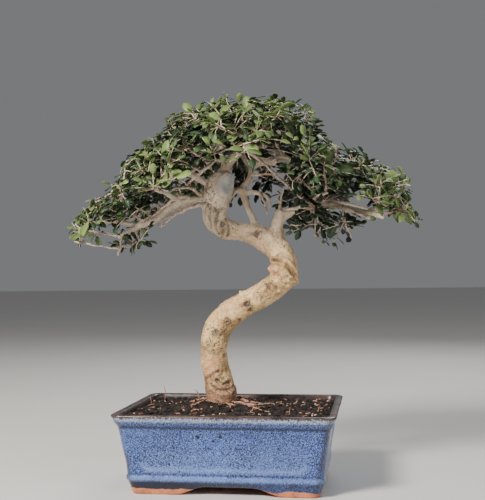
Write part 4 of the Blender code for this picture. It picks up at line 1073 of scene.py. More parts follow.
def crumb_shape(detail, seed):
    """One crumb, modelled once about a unit across: a small ball pulled out of round."""
    clear_selection()
    bpy.ops.mesh.primitive_ico_sphere_add(subdivisions=detail, radius=0.5)
    crumb = bpy.context.object
    edit(crumb)
    bpy.ops.mesh.select_all(action="SELECT")
    bpy.ops.transform.vertex_random(offset=0.16, seed=seed)
    bpy.ops.transform.resize(value=(1.2, 0.9, 0.72), center_override=(0, 0, 0))
    leave_edit()
    return taken_apart(crumb)


def place_on_soil(rng):
    """A random place in plan that is inside the pot and off the trunk."""
    while True:
        x, y = (rng.uniform(-half, half) for half in LOOSE_HALF)
        corner_x, corner_y, round_by = LOOSE_CORNER
        out = math.hypot(max(abs(x) - corner_x, 0), max(abs(y) - corner_y, 0))
        if out < round_by and math.hypot(x - TRUNK_X, y) > LOOSE_OFF_TRUNK:
            return x, y


def random_turn(rng):
    turn = Matrix.Rotation(rng.uniform(0, 6.28), 3, "Z")
    return np.array(turn @ Matrix.Rotation(rng.uniform(0, 6.28), 3, "X"))


def scatter(name, template, sizes, rng, finish):
    """Scatters one crumb shape over the soil as one piece."""
    shape, faces = template
    shapes, tints = [], []
    for size in sizes:
        x, y = place_on_soil(rng)
        stretch = np.diag([rng.uniform(0.8, 1.3), rng.uniform(0.8, 1.2), 1]) * size
        turn = random_turn(rng) @ stretch
        shapes.append(shape @ turn.T + (x, y, soil_skin(x, y) + 0.18 * size))
        tints.append(rng.uniform(0, 1))
    obj = mesh_object(name, *joined(shapes, faces))
    mark(obj, "tint", np.repeat(tints, len(shape)))
    finish_piece(obj, name, finish)


def make_soil_crumbs():
    colours = bpy.context.scene.bonsai_soil
    rng = random.Random(7)
    dark = crumb_finish("soil_crumb", colours.soil, colours.soil_brown, colours.soil_red)
    pale = crumb_finish("pale_grain", colours.grain, colours.grain_pale, colours.grain_pale)
    large, small = crumb_shape(2, 3), crumb_shape(1, 5)
    count = colours.crumbs
    for name, template, number, span, finish in (
        ("soil_crumbs_large", large, count // 4, (1.8, 3.8), dark),
        ("soil_crumbs_small", small, count, (0.8, 1.9), dark),
        ("soil_grains_pale", large, colours.grains, (0.9, 2.3), pale),
    ):
        scatter(name, template, [rng.uniform(*span) for _ in range(number)], rng, finish)


def on_soil(knots, step=2.0):
    """A line of x, y, z and radius from points in plan that lie on the soil."""
    flat = smooth_line(knots, step)
    line = []
    for k, (x, y, radius) in enumerate(flat):
        wave = 0.5 * math.sin(k * 1.9) * min(1.0, 0.8 / radius)
        line.append((x, y + wave, soil_skin(x, y) + radius * 0.7 + 0.5, radius))
    return line


def fine_roots(rng):
    """The surface roots with the hair roots that fork off them."""
    lines = [on_soil([(x, y, 0.8 * radius) for x, y, radius in knots]) for knots in ROOTS]
    for line in list(lines):
        for x, y, _, _ in line[3::2]:
            turn, long = rng.uniform(0, 6.28), rng.uniform(2, 6)
            tip = (x + math.cos(turn) * long * 1.6, y + math.sin(turn) * long * 1.6, 0.14)
            bend = (x + math.cos(turn + 0.5) * long, y + math.sin(turn + 0.5) * long, 0.2)
            lines.append(on_soil(((x, y, 0.28), bend, tip), 1.5))
    return lines


def bit_of_wood(rng):
    """A slightly bowed bit of wood that lies on the soil."""
    x, y = place_on_soil(rng)
    turn, long = rng.uniform(0, 6.28), rng.uniform(2.5, 8.0)
    step = np.array((math.cos(turn), math.sin(turn))) * long / 4
    radius = rng.uniform(0.3, 0.75)
    bow = rng.uniform(-0.9, 0.9)
    line = []
    for k in range(5):
        side = bow * math.sin(k / 4 * math.pi)
        px, py = x + step[0] * k - step[1] * side, y + step[1] * k + step[0] * side
        px, py = max(-91, min(91, px)), max(-69, min(69, py))
        lift = soil_skin(px, py) + radius + 0.4 * math.sin(k / 4 * math.pi)
        line.append((px, py, lift, radius * (1 - 0.12 * abs(k - 1.5))))
    return line


def make_roots_and_bits():
    colours = bpy.context.scene.bonsai_wood
    rng = random.Random(23)
    roots = round_tubes("surface_roots", fine_roots(rng), 2)
    shade_round(roots)
    finish_piece(roots, "surface_roots",
                 twig_finish("root_skin", colours.root, colours.root_brown))
    lines = [[(x, y, soil_height(x, y) + up, radius)
              for x, y, up, radius in smooth_line(knots, 2.0)] for knots in SPRIGS]
    lines += [bit_of_wood(rng) for _ in range(LOOSE_BITS)]
    finish_piece(round_tubes("wood_bits", lines, 1), "wood_bits",
                 twig_finish("wood_bit", colours.root, colours.bark_foot))


# Trunk and limbs

def lengths_along(line):
    """How far along a line each of its points lies."""
    steps = np.linalg.norm(np.diff(line[:, :3], axis=0), axis=1)
    return np.concatenate(([0], np.cumsum(steps)))


def line_frames(line):
    """Tangent and two cross directions at each point of a line, turning as little as possible."""
    ahead = np.gradient(line[:, :3], axis=0)
    side = np.cross(ahead[0], (0.3, 1.0, 0.2))
    frames = []
    for tangent in ahead:
        tangent = unit(tangent)
        side = unit(side - tangent * side.dot(tangent))
        frames.append((tangent, side, np.cross(tangent, side)))
    return frames


def straightened(points, lines):
    """Each point's place as if its limb were straight, and the radius of its limb."""
    frames = np.concatenate([line_frames(line) for line in lines])
    middles, radii = np.split(np.concatenate(lines), (3,), axis=1)
    lengths = [lengths_along(line) + LIMB_APART * k for k, line in enumerate(lines)]
    nearest = np.empty(len(points), int)
    for start in range(0, len(points), AT_A_TIME):
        some = slice(start, start + AT_A_TIME)
        gap = np.linalg.norm(points[some, None] - middles[None], axis=2) - radii[:, 0]
        nearest[some] = gap.argmin(axis=1)
    off = points - middles[nearest]
    tangent, side, other = frames[nearest].transpose(1, 0, 2)
    a, b, along = (np.einsum("ij,ij->i", off, axis) for axis in (side, other, tangent))
    place = np.stack((a, b, along + np.concatenate(lengths)[nearest]), axis=1)
    return place * MM, radii[nearest, 0]


def segment_distance(points, start, end):
    ahead = end - start
    share = np.clip((points - start) @ ahead / ahead.dot(ahead), 0, 1)
    return np.linalg.norm(points - start - share[:, None] * ahead, axis=1)


def bark_relief(points, faces, place, girth):
    """How far the bark stands out at each point, how deep in a hollow it lies, and its stains."""
    skin = BVHTree.FromPolygons(points.tolist(), faces)

    def on_bark(spot):
        return np.array(skin.find_nearest(Vector(spot))[0])

    def away_from(spot, stretch=(1, 1, 1)):
        return np.linalg.norm((points - on_bark(spot)) / stretch, axis=1)

    rise = np.zeros(len(points))
    hollow = np.zeros(len(points))
    for x, y, z, reach, height in BUMPS:
        near = away_from((x, y, z)) / reach
        rise += height * np.exp(-1.6 * near ** 2)
    for x, y, z, ring, lip, depth, tall in SCARS:
        near = away_from((x, y, z), (1, 1, tall))
        inside = np.exp(-(near / (0.72 * ring)) ** 4)
        rise += lip * np.exp(-((near - ring) / (0.3 * ring)) ** 2) - depth * inside
        hollow = np.maximum(hollow, inside * min(1.0, depth))
    for knots, width, depth in CREASES:
        path = [on_bark(spot) for spot in smooth_line(knots, 2.0)]
        gap = np.min([segment_distance(points, a, b) for a, b in zip(path, path[1:])], axis=0)
        line = np.exp(-(gap / width) ** 2)
        rise += depth * (0.55 * np.exp(-((gap - 2.4 * width) / (1.1 * width)) ** 2) - line)
        hollow = np.maximum(hollow, 0.6 * line)
    stain = np.zeros(len(points))
    for x, y, z, reach, strength in STAINS:
        near = away_from((x, y, z)) / reach
        stain = np.maximum(stain, strength * np.exp(-near ** 2))
    thick = np.clip(girth / 12, 0.12, 1.0)
    for i, (spot, flat) in enumerate(zip(points, place / MM)):
        lumps = noise.noise(Vector(spot) * 0.07)
        fine = noise.noise(Vector(spot) * 0.24 + Vector((7, 1, 4)))
        rings = noise.noise(Vector((flat[0] * 0.06, flat[1] * 0.06, flat[2] * 0.55)))
        grit = noise.noise(Vector(spot) * 0.8)
        rough = 1.25 if spot[2] < 100 else 1.0
        rise[i] += thick[i] * rough * (0.95 * lumps + 0.5 * fine + 0.3 * rings) + 0.14 * grit
    return rise, hollow, stain


def limb_line(knots, rng):
    """A limb's smooth line with slight swellings where old shoots grew."""
    line = smooth_line(knots, 1.6)
    phase, beat = rng.uniform(0, 6), rng.uniform(0.35, 0.6)
    for k, point in enumerate(line):
        swell = max(0.0, math.sin(k * beat + phase)) ** 6
        point[3] *= 1 + 0.13 * swell
        bend = 0.09 * point[3]
        point[:3] += bend * np.array((math.sin(k * 0.33 + phase), math.cos(k * 0.27 + phase),
                                      math.sin(k * 0.41)))
        point[3] += 0.28 / max(point[3], 1.0)
    return line


def spread_out(obj, values, times):
    """Evens out a number over the mesh, so that it changes gently where limbs meet."""
    ends = numbers(obj.data.edges, "vertices", 2, np.int32)
    count = np.bincount(ends.ravel(), minlength=len(values))
    for _ in range(times):
        total = np.bincount(ends[:, 0], values[ends[:, 1]], len(values))
        total += np.bincount(ends[:, 1], values[ends[:, 0]], len(values))
        values = (values + total) / (1 + count)
    return values


def make_trunk():
    sizes = bpy.context.scene.bonsai_wood
    rng = random.Random(3)
    trunk_line = smooth_line(TRUNK, 1.8)
    limb_lines = [limb_line(knots, rng) for knots in LIMBS]
    wood = round_tubes("trunk_bark", [trunk_line], 10)
    limbs = round_tubes("limbs", limb_lines, 4)
    select_only(wood, limbs)
    bpy.ops.object.join()
    apply_modifier(wood, "REMESH", mode="VOXEL", voxel_size=sizes.voxel * MM)
    apply_modifier(wood, "SMOOTH", factor=0.5, iterations=5)
    points = points_of(wood)
    place, girth = straightened(points, [trunk_line, *limb_lines])
    faces = [tuple(face.vertices) for face in wood.data.polygons]
    rise, hollow, stain = bark_relief(points, faces, place, girth)
    points = points + numbers(wood.data.vertex_normals, "vector", 3) * rise[:, None]
    move_points(wood, points)
    from_cut = np.linalg.norm((points - TOP_CUT[0]) / TOP_CUT[1], axis=1)
    mark(wood, "bark_place", place)
    mark(wood, "girth", spread_out(wood, girth, 14))
    mark(wood, "hollow", hollow)
    mark(wood, "stain", stain)
    mark(wood, "scar", 0.8 * (1 - smooth_share(from_cut, 0.6, 1.15)))
    shade_round(wood)
    finish_piece(wood, "trunk_bark", bark_finish(), "trunk")


def side_shoots(line, rng):
    """Short shoots that stand off a bare twig, to one side or the other."""
    shoots = []
    for k in range(5, len(line) - 2, 4):
        start = line[k]
        ahead = unit(line[k + 1][:3] - line[k - 1][:3])
        side = unit(np.cross(ahead, (rng.uniform(-1, 1), rng.uniform(-1, 1), 1)))
        aim = unit(0.7 * ahead + side * rng.choice((-1, 1)) + (0, 0, rng.uniform(-0.3, 0.5)))
        long = rng.uniform(4, 10)
        radius = min(0.6, start[3] * 0.7)
        shoots.append([(*(start[:3] + aim * long * t + (0, 0, 0.6 * t * t)),
                        radius * (1 - 0.4 * t)) for t in (0, 0.35, 0.7, 1.0)])
    return shoots


def make_bare_twigs():
    colours = bpy.context.scene.bonsai_wood
    rng = random.Random(11)
    lines = []
    for knots in BARE_TWIGS:
        line = smooth_line(knots, 2.0)
        for k, point in enumerate(line):
            point[:3] += 0.35 * np.array((math.sin(k * 1.3), math.cos(k * 1.1), math.sin(k * 0.9)))
        lines += [line, *side_shoots(line, rng)]
    twigs = round_tubes("bare_twigs", lines, 1)
    shade_round(twigs)
    finish_piece(twigs, "bare_twigs",
                 twig_finish("pale_twig", colours.twig, colours.twig_brown))


# Leaves and sprays

def leaf_shape():
    """One leaf, modelled once: foot at the origin, tip along Y, a unit long and thinly closed."""
    rows = len(LEAF_ROWS) - 1
    clear_selection()
    bpy.ops.mesh.primitive_grid_add(x_subdivisions=2, y_subdivisions=rows, size=1)
    leaf = bpy.context.object
    leaf.data.uv_layers[0].name = "leaf_chart"
    edit(leaf)
    for k in reversed(range(rows + 1)):
        along, half = LEAF_ROWS[k]
        old = k / rows - 0.5
        pick(leaf, "VERT", lambda v: abs(v.co.y - old) < 1e-4)
        bpy.ops.transform.resize(value=(2 * half, 1, 1), center_override=(0, 0, 0))
        bpy.ops.transform.translate(value=(0, along - old + 2, 0))
    bpy.ops.mesh.select_all(action="SELECT")
    bpy.ops.transform.translate(value=(0, -2, 0))
    leave_edit()
    apply_modifier(leaf, "SOLIDIFY", thickness=LEAF_THICK, offset=0.0)
    chart = numbers(leaf.data.uv_layers[0].data, "uv", 2).ravel()
    return (*taken_apart(leaf), chart)


def solid_of(node):
    """A CAD node's points in millimetres from the pot's middle, merged, and its triangles."""
    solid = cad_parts[node]
    points = points_of(solid)
    solid.data.calc_loop_triangles()
    corners = numbers(solid.data.loop_triangles, "vertices", 3, np.int32)
    _, first, merged = np.unique(np.round(points, 3), axis=0, return_index=True,
                                 return_inverse=True)
    return points[first], merged.reshape(-1)[corners]


def ways_from(points, triangles, start):
    """Each point's neighbours, its distance from the start along edges and the point before it."""
    near = [{} for _ in points]
    for triangle in triangles:
        for i, j in zip(triangle, (triangle[1], triangle[2], triangle[0])):
            near[i][j] = near[j][i] = float(np.linalg.norm(points[i] - points[j]))
    away, before = [math.inf] * len(points), [-1] * len(points)
    away[start] = 0.0
    queue = [(0.0, start)]
    while queue:
        reached, i = heapq.heappop(queue)
        if reached > away[i]:
            continue
        for j, step in near[i].items():
            if reached + step < away[j] - 1e-9:
                away[j], before[j] = reached + step, i
                heapq.heappush(queue, (away[j], j))
    return near, away, before


def nearest(place, others):
    """How far off the nearest of some places is, and which it is."""
    gaps = [float(np.linalg.norm(place - other)) for other in others]
    return (min(gaps), others[int(np.argmin(gaps))]) if gaps else (math.inf, None)


def off_wood(wood, place):
    """How far a place is from the trunk and limbs."""
    return wood.find_nearest(Vector(place))[3]


class Spray:
    """What a leafy stem's solid says: its stem and twig lines, and its leaves."""

    def __init__(self, node, wood):
        self.points, triangles = solid_of(node)
        foot = int(np.argmin([off_wood(wood, place) for place in self.points]))
        self.near, self.away, self.before = ways_from(self.points, triangles, foot)
        self.foot = np.array(wood.find_nearest(Vector(self.points[foot]))[0])
        self.lines = []
        self.leaves = []
        self.read()
        self.wood = np.concatenate(self.lines)
        self.ways = np.concatenate([[unit(way) for way in np.gradient(line, axis=0)]
                                    for line in self.lines])

    def is_tip(self, i):
        """Whether a point lies further out along the spray than all that are near it."""
        ring = set(self.near[i])
        for j in self.near[i]:
            ring |= set(self.near[j])
        ring.discard(i)
        return all(self.away[j] < self.away[i] for j in ring)

    def read(self):
        """Walks from each tip back to the foot for the lines, and takes up the tips' leaves."""
        tips = [i for i in range(len(self.points)) if self.is_tip(i)]
        taken = []
        for tip in sorted(tips, key=lambda i: -self.away[i]):
            knots = self.thinned(self.walk_back(tip, taken)[::-1])
            line = cut_at_outline(smooth_line(knots, LINE_STEP)) if len(knots) > 1 else ()
            if len(line) > 1:
                self.lines.append(line)
                taken += list(line)
            self.add_leaf(tip, self.points[self.before[tip]], taken)

    def walk_back(self, tip, taken):
        """The way from a tip back to the lines that are already taken, or else to the foot."""
        line = []
        i = self.before[tip]
        while i >= 0:
            gap, joint = nearest(self.points[i], taken)
            if gap < JOIN_WITHIN:
                return [*line, joint]
            line.append(self.points[i])
            i = self.before[i]
        return [*line, self.foot]

    @staticmethod
    def thinned(line):
        """The line without points that lie too close after one another."""
        kept = [line[0]]
        for place in line[1:]:
            if np.linalg.norm(place - kept[-1]) > THIN_STEP:
                kept.append(place)
        return kept

    def add_leaf(self, tip, foot, taken):
        """Takes up the leaf at a tip, from the nearest wood, with the way that it faces."""
        gap, base = nearest(foot, taken)
        if gap > LEAF_FOOT_GAP or not in_outline(self.points[tip]):
            return
        ahead = self.points[tip] - base
        rim = [j for j in self.near[tip] if TIP_EDGES[0] < self.near[tip][j] < TIP_EDGES[1]]
        rim = sorted(rim, key=lambda j: -self.near[tip][j])[-2:]
        across = self.points[rim[0]] - self.points[rim[-1]] if len(rim) == 2 else None
        if across is None or np.linalg.norm(across) < 1.0:
            across = np.cross(ahead, (0, 0, 1.0))
        normal = np.cross(across, ahead)
        normal *= 1 if normal[2] >= 0 else -1
        length = float(np.linalg.norm(ahead)) * LEAF_TRIM[len(self.leaves) % len(LEAF_TRIM)]
        # The leaf's last value mixes its age with painted light: brighter at the crown's skin,
        # darker inside.
        self.leaves.append((base, unit(ahead), unit(normal), length,
                            0.25 + 0.7 * outer_share(self.points[tip])))


def in_outline(place, spare=OUTLINE_SPARE):
    """Whether a place lies within the crown's outline as the photograph shows it."""
    x, y, z = place
    deep = y * math.cos(VIEW_TURN) - x * math.sin(VIEW_TURN)
    shrink = VIEW_FROM / (VIEW_FROM + deep)
    across = x * math.cos(VIEW_TURN) + y * math.sin(VIEW_TURN)
    across = VIEW_ASIDE + (across - VIEW_ASIDE) * shrink
    up = VIEW_HEIGHT + (z - VIEW_HEIGHT) * shrink
    spare += OUTLINE_RAGGED * noise.noise(Vector(place) * 0.075)
    spare += OUTLINE_STRAY * noise.noise(Vector(place) * 0.31)
    low = np.interp(across, *zip(*CROWN_LOW), left=math.inf, right=math.inf)
    top = np.interp(across, *zip(*CROWN_TOP), left=-math.inf, right=-math.inf)
    return bool(low - spare < up < top + spare)


def cut_at_outline(line):
    """The line up to where it leaves the crown's outline."""
    for k, place in enumerate(line):
        if place[2] > VIEW_HEIGHT and not in_outline(place, TWIG_SPARE):
            return line[:max(k, FEWEST_POINTS)]
    return line


def outward_share(place):
    """0 in the crown's middle, 1 at its outer surface."""
    return float(np.linalg.norm((place - CROWN_MIDDLE) / CROWN_REACH))


def outer_share(place):
    """0 for a leaf deep inside, 1 at the crown's skin, and between for the hanging sprays."""
    return max(float(smooth_share(outward_share(place), 0.6, 1.0)),
               0.45 * float(smooth_share(HANG_BELOW - place[2], 0, 12)))


def wider_below(room, height):
    """The room between leaves, which is more where the sprays hang free."""
    return room * (HANG_ROOM if height < HANG_BELOW else 1.0)


class Crown:
    """Keeps track of where leaves are, so that new ones find room."""

    def __init__(self, wood, sprays):
        self.wood = wood
        self.cells = {}
        self.stems = np.concatenate([line for spray in sprays for line in spray.lines[:3]])

    def take(self, base, aim, length):
        """Notes where a leaf is, by its heart."""
        place = base + aim * length * HEART_SHARE
        key = tuple(np.floor(place / CELL).astype(int))
        self.cells.setdefault(key, []).append(place)

    def open_at(self, place, room):
        """Whether no leaf's heart is nearer to a place than the room asked for."""
        base = np.floor(place / CELL).astype(int)
        cells = math.ceil(room / CELL)
        span = range(-cells, cells + 1)
        for dx in span:
            for dy in span:
                for dz in span:
                    key = (base[0] + dx, base[1] + dy, base[2] + dz)
                    for other in self.cells.get(key, ()):
                        if np.linalg.norm(other - place) < room:
                            return False
        return True

    def hides_stem(self, place):
        """Whether a leaf there would hide a stem that shows at the crown's front."""
        ahead = self.stems - place
        near = (np.abs(ahead[:, 0]) < STEM_WIDTH) & (np.abs(ahead[:, 2]) < STEM_WIDTH)
        return bool(np.any(near & (ahead[:, 1] > 0.5) & (ahead[:, 1] < STEM_FRONT)))

    def fits(self, base, aim, length):
        """Whether a leaf there is clear of other leaves and of the wood, and hides none of it."""
        heart, tip = base + aim * length * HEART_SHARE, base + aim * length
        if heart[1] < 20 and self.hides_stem(heart):
            return False
        if outward_share(tip) > 1.05 or tip[2] < LOWEST_TIP or not in_outline(tip):
            return False
        if hides_wood(heart) or hides_wood(tip):
            return False
        if not self.open_at(heart, wider_below(LEAF_ROOM, tip[2])):
            return False
        return all(off_wood(self.wood, part) > CLEAR_OF_WOOD for part in (heart, tip))


def hides_wood(place):
    """Whether a place lies in front of wood that stays in sight."""
    x, y, z = place
    for (x0, z0), (x1, z1), width, front in IN_SIGHT:
        share = ((x - x0) * (x1 - x0) + (z - z0) * (z1 - z0)) / ((x1 - x0) ** 2 + (z1 - z0) ** 2)
        share = min(1.0, max(0.0, share))
        away = math.hypot(x - x0 - share * (x1 - x0), z - z0 - share * (z1 - z0))
        if away < width and y < front:
            return True
    return False


def leaf_normal(aim, place, rng):
    """The way a leaf faces: mostly up and out of the crown, and square to its length."""
    out = unit((place - CROWN_MIDDLE) / CROWN_REACH)
    face = np.array((0, 0, 0.9)) + 0.75 * out
    face = face + np.array([rng.uniform(-0.45, 0.45) for _ in range(3)])
    return unit(face - aim * face.dot(aim))


def grow_along(line, crown, rng, leaves, habit, reach, age_and_light):
    """Adds leaves that alternate from side to side along a twig, from a share of its length."""
    along = lengths_along(line)
    start, spacing, shortest, longest = habit

    def spot(at):
        return np.array([np.interp(at, along, line[:, k]) for k in range(3)])

    at, hand = along[-1] * start + rng.uniform(0, 2), rng.choice((-1, 1))
    while at < along[-1]:
        place = spot(at)
        ahead = unit(spot(at + 1.5) - spot(at - 1.5))
        up = leaf_normal(ahead, place, rng)
        side = np.cross(ahead, up) * hand
        aim = unit(0.62 * ahead + side + 0.25 * np.array([rng.uniform(-1, 1) for _ in range(3)]))
        length = rng.uniform(reach * shortest, reach * longest)
        if crown.fits(place, aim, length):
            crown.take(place, aim, length)
            leaves.append((place, aim, leaf_normal(aim, place, rng), length, age_and_light(at / along[-1])))
        hand = -hand
        at += spacing * rng.uniform(0.75, 1.3)


def twig_towards(spray, target, longest, rng):
    """A bowed side twig from the spray's nearest wood to a place, or nothing if it is unfit."""
    gaps = np.linalg.norm(spray.wood - target, axis=1)
    k = int(np.argmin(gaps))
    if not FILL_LENGTH[0] < gaps[k] < longest:
        return None
    start = spray.wood[k]
    lean = spray.ways[k] * gaps[k] * rng.uniform(0.1, 0.35)
    middle = (start + target) / 2 + lean * 0.5 + np.array((0, 0, rng.uniform(-1.5, 1.0)))
    count = max(4, round(gaps[k] / 2.4))
    shares = np.linspace(0, 1, count)[:, None]
    return ((1 - shares) ** 2 * start + 2 * shares * (1 - shares) * middle + shares ** 2 * target)


def fill_gap(spray, crown, rng, leaves, reach, room):
    """Tries one side twig with leaves towards an empty place near the spray's own leaves."""
    if not leaves:
        return None
    base, aim, _, length, _ = rng.choice(spray.leaves or leaves)
    turn = unit(np.array([rng.gauss(0, 1) for _ in range(3)]))
    target = base + aim * length * rng.random() + turn * FILL_REACH * rng.random() ** 0.5
    longest = FILL_LENGTH[1]
    if rng.random() < BACK_SHARE:
        target = BACK_ROOM[0] + BACK_ROOM[1] * [rng.uniform(-1, 1) for _ in range(3)]
        longest = BACK_LENGTH
    if hides_wood(target) or outward_share(target) > 1.0 or not in_outline(target, TWIG_SPARE):
        return None
    if not crown.open_at(target, wider_below(room, target[2])):
        return None
    twig = twig_towards(spray, target, longest, rng)
    if twig is None or any(off_wood(crown.wood, place) < TWIG_OFF_WOOD for place in twig[2:]):
        return None
    before = len(leaves)
    age_and_light = age_and_light_at(target, rng)
    grow_along(twig, crown, rng, leaves, FILL_HABIT, reach, age_and_light)
    end_with_leaf(twig, crown, rng, leaves, reach, age_and_light)
    return twig if len(leaves) > before + 1 else None


def end_with_leaf(twig, crown, rng, leaves, reach, age_and_light):
    """A leaf at the twig's end, where there is room."""
    aim, length = unit(twig[-1] - twig[-2]), reach * rng.uniform(0.65, 1.1)
    if crown.fits(twig[-1], aim, length):
        crown.take(twig[-1], aim, length)
        leaves.append((twig[-1], aim, leaf_normal(aim, twig[-1], rng), length, age_and_light(1.0)))


def age_and_light_at(place, rng):
    """How young and how lit leaves are along a twig there: younger towards its tip, and brighter
    towards the crown's skin and darker inside it, as painted light and shade.
    """
    depth = outer_share(place)
    return lambda share: float(np.clip(0.7 * depth + 0.3 * share - 0.2
                                       + rng.uniform(-0.3, 0.35), 0, 1))


def dress_sprays(sprays, crown, sizes):
    """Leaves and side twigs of all sprays: first along the solid's own lines, then in gaps."""
    rng = random.Random(41)
    reach = sizes.leaf_length
    dressed = [(list(spray.leaves), []) for spray in sprays]
    for leaves, _ in dressed:
        for base, aim, _, length, _ in leaves:
            crown.take(base, aim, length)
    for spray, (leaves, _) in zip(sprays, dressed):
        for k, line in enumerate(spray.lines):
            age_and_light = age_and_light_at(line[-1], rng)
            grow_along(line, crown, rng, leaves, TWIG_HABIT if k else STEM_HABIT, reach, age_and_light)
            end_with_leaf(line, crown, rng, leaves, reach, age_and_light)
    for room in FILL_ROOMS:
        for _ in range(sizes.tries):
            k = rng.randrange(len(sprays))
            leaves, twigs = dressed[k]
            if sum(len(part[0]) for part in dressed) > sizes.most_leaves:
                break
            twig = fill_gap(sprays[k], crown, rng, leaves, reach, room)
            if twig is not None:
                twigs.append(twig)
    return dressed


def crooked(line, thick, thin, rng):
    """A twig's line with a slight crook at each leaf and its radius from thick to thin."""
    line = np.array(line)
    for k in range(1, len(line) - 1):
        crook = np.array([rng.uniform(-0.25, 0.25) for _ in range(3)])
        line[k] += (0.13 if k % 2 else -0.13) + crook
    radii = np.linspace(thick, thin, len(line))
    radii[1:-1] *= [rng.uniform(0.88, 1.18) for _ in range(len(line) - 2)]
    return np.column_stack((line, radii))


def twig_lines(spray, twiglets, rng):
    """The stem, twigs and side twigs with their radii, thick and thin."""
    stem, *twigs = spray.lines
    lines = [crooked(stem, *STEM_RADII, rng)]
    lines += [crooked(twig, *TWIG_RADII, rng) for twig in twigs]
    return lines + [crooked(twiglet, *FILL_RADII, rng) for twiglet in twiglets]


def leaf_mesh(name, leaves, template, rng):
    """All leaves of a spray: copies of the one leaf, each with its own bend and colour."""
    shape, faces, chart = template
    shapes, tints, age_and_light = [], [], []
    for base, aim, normal, length, leaf_age_and_light in leaves:
        side = np.cross(aim, normal)
        turn = np.column_stack((side, aim, normal)) * length
        bent = shape.copy()
        bent[:, 0] *= rng.uniform(*LEAF_WIDTH)
        fold, droop = rng.uniform(*LEAF_FOLD), rng.uniform(*LEAF_DROOP)
        bent[:, 2] += fold * np.abs(bent[:, 0]) - droop * bent[:, 1] ** 2
        bent[:, 0] += rng.uniform(-LEAF_SWING, LEAF_SWING) * bent[:, 1] ** 2
        shapes.append(bent @ turn.T + base)
        tints.append(rng.random())
        age_and_light.append(leaf_age_and_light)
    obj = mesh_object(name, *joined(shapes, faces))
    layer = obj.data.uv_layers.new(name="leaf_chart")
    layer.data.foreach_set("uv", np.tile(chart, len(leaves)))
    mark(obj, "tint", np.repeat(tints, len(shape)))
    mark(obj, "age_and_light", np.repeat(age_and_light, len(shape)))
    return obj


def make_sprays():
    sizes = bpy.context.scene.bonsai_leaf
    colours = bpy.context.scene.bonsai_wood
    wood = BVHTree.FromPolygons(*[part.tolist() for part in solid_of("trunk")])
    nodes = sorted(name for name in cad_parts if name.startswith("spray_"))
    sprays = [Spray(node, wood) for node in nodes]
    crown = Crown(wood, sprays)
    template = leaf_shape()
    green = leaf_finish()
    bark = twig_finish("young_twig", colours.twig, colours.twig_brown)
    dressed = dress_sprays(sprays, crown, sizes)
    for k, (node, spray, (leaves, twiglets)) in enumerate(zip(nodes, sprays, dressed)):
        rng = random.Random(100 + k)
        obj = leaf_mesh("leafy_" + node, leaves, template, rng)
        obj.data.materials.append(green)
        twigs = round_tubes("twigs", twig_lines(spray, twiglets, rng), 0)
        twigs.data.materials.append(bark)
        select_only(obj, twigs)
        bpy.ops.object.join()
        shade_round(obj)
        finish_piece(obj, "leafy_" + node, node=node)


# Stage

def make_stage():
    look = bpy.context.scene.bonsai_stage
    clear_selection()
    bpy.ops.mesh.primitive_plane_add(size=1)
    bpy.context.object.scale = (30, 30, 1)
    floor = added("studio_floor")
    material, shader, mix, place = new_finish("studio_floor")
    mix.feed(shader.inputs["Base Color"],
             mix.mottle(place, 3.0, look.floor, dimmed(look.floor, 0.97)))
    shader.inputs["Roughness"].default_value = 0.8
    floor.data.materials.append(material)
    world = bpy.data.worlds.new("studio")
    bpy.context.scene.world = world
    world.use_nodes = True
    back = world.node_tree.nodes["Background"]
    back.inputs["Color"].default_value = (*look.air, 1.0)
    back.inputs["Strength"].default_value = look.air_strength
    target = Vector((0, 0, 0.2))
    for name, place, size, energy, colour in (
        ("key_light", (-0.7, -1.05, 1.1), 0.45, look.key, (1.0, 0.95, 0.88)),
        ("fill_light", (1.2, -0.8, 0.6), 0.9, look.fill, (0.9, 0.95, 1.0)),
        ("back_light", (0.3, 1.2, 1.1), 0.8, look.back, (1.0, 1.0, 1.0)),
    ):
        lamp = bpy.data.lights.new(name, "AREA")
        lamp.shape = "DISK"
        lamp.size = size
        lamp.energy = energy
        lamp.color = colour
        obj = bpy.data.objects.new(name, lamp)
        bpy.context.scene.collection.objects.link(obj)
        obj.location = place
        obj.rotation_euler = (target - Vector(place)).to_track_quat("-Z", "Y").to_euler()


def make_camera():
    """The camera at the photograph's viewing angle."""
    look = bpy.context.scene.bonsai_stage
    turn, pitch, roll = look.camera_turn, look.camera_pitch, look.camera_roll
    back = Vector((math.sin(turn), -math.cos(turn), 0))
    right = Vector((math.cos(turn), math.sin(turn), 0))
    ahead = -back * math.cos(pitch) + Vector((0, 0, math.sin(pitch)))
    up = right.cross(ahead)
    side = right * math.cos(roll) + up * math.sin(roll)
    top = -right * math.sin(roll) + up * math.cos(roll)
    camera = bpy.data.objects.new("photo_camera", bpy.data.cameras.new("photo_camera"))
    bpy.context.scene.collection.objects.link(camera)
    camera.data.lens = look.lens
    camera.data.sensor_width = 36
    camera.data.clip_start = 0.01
    away, aside, height = CAMERA_PLACE
    place = back * away + right * aside + Vector((0, 0, height))
    matrix = Matrix((side, top, -ahead)).transposed().to_4x4()
    matrix.translation = place + Vector(SHIFT * MM)
    camera.matrix_world = matrix
    bpy.context.scene.camera = camera


# Settings

def colour_setting(name, about, *shade):
    return FloatVectorProperty(name=name, description=about, subtype="COLOR", size=3, min=0.0,
                               max=1.0, default=tone(*shade))


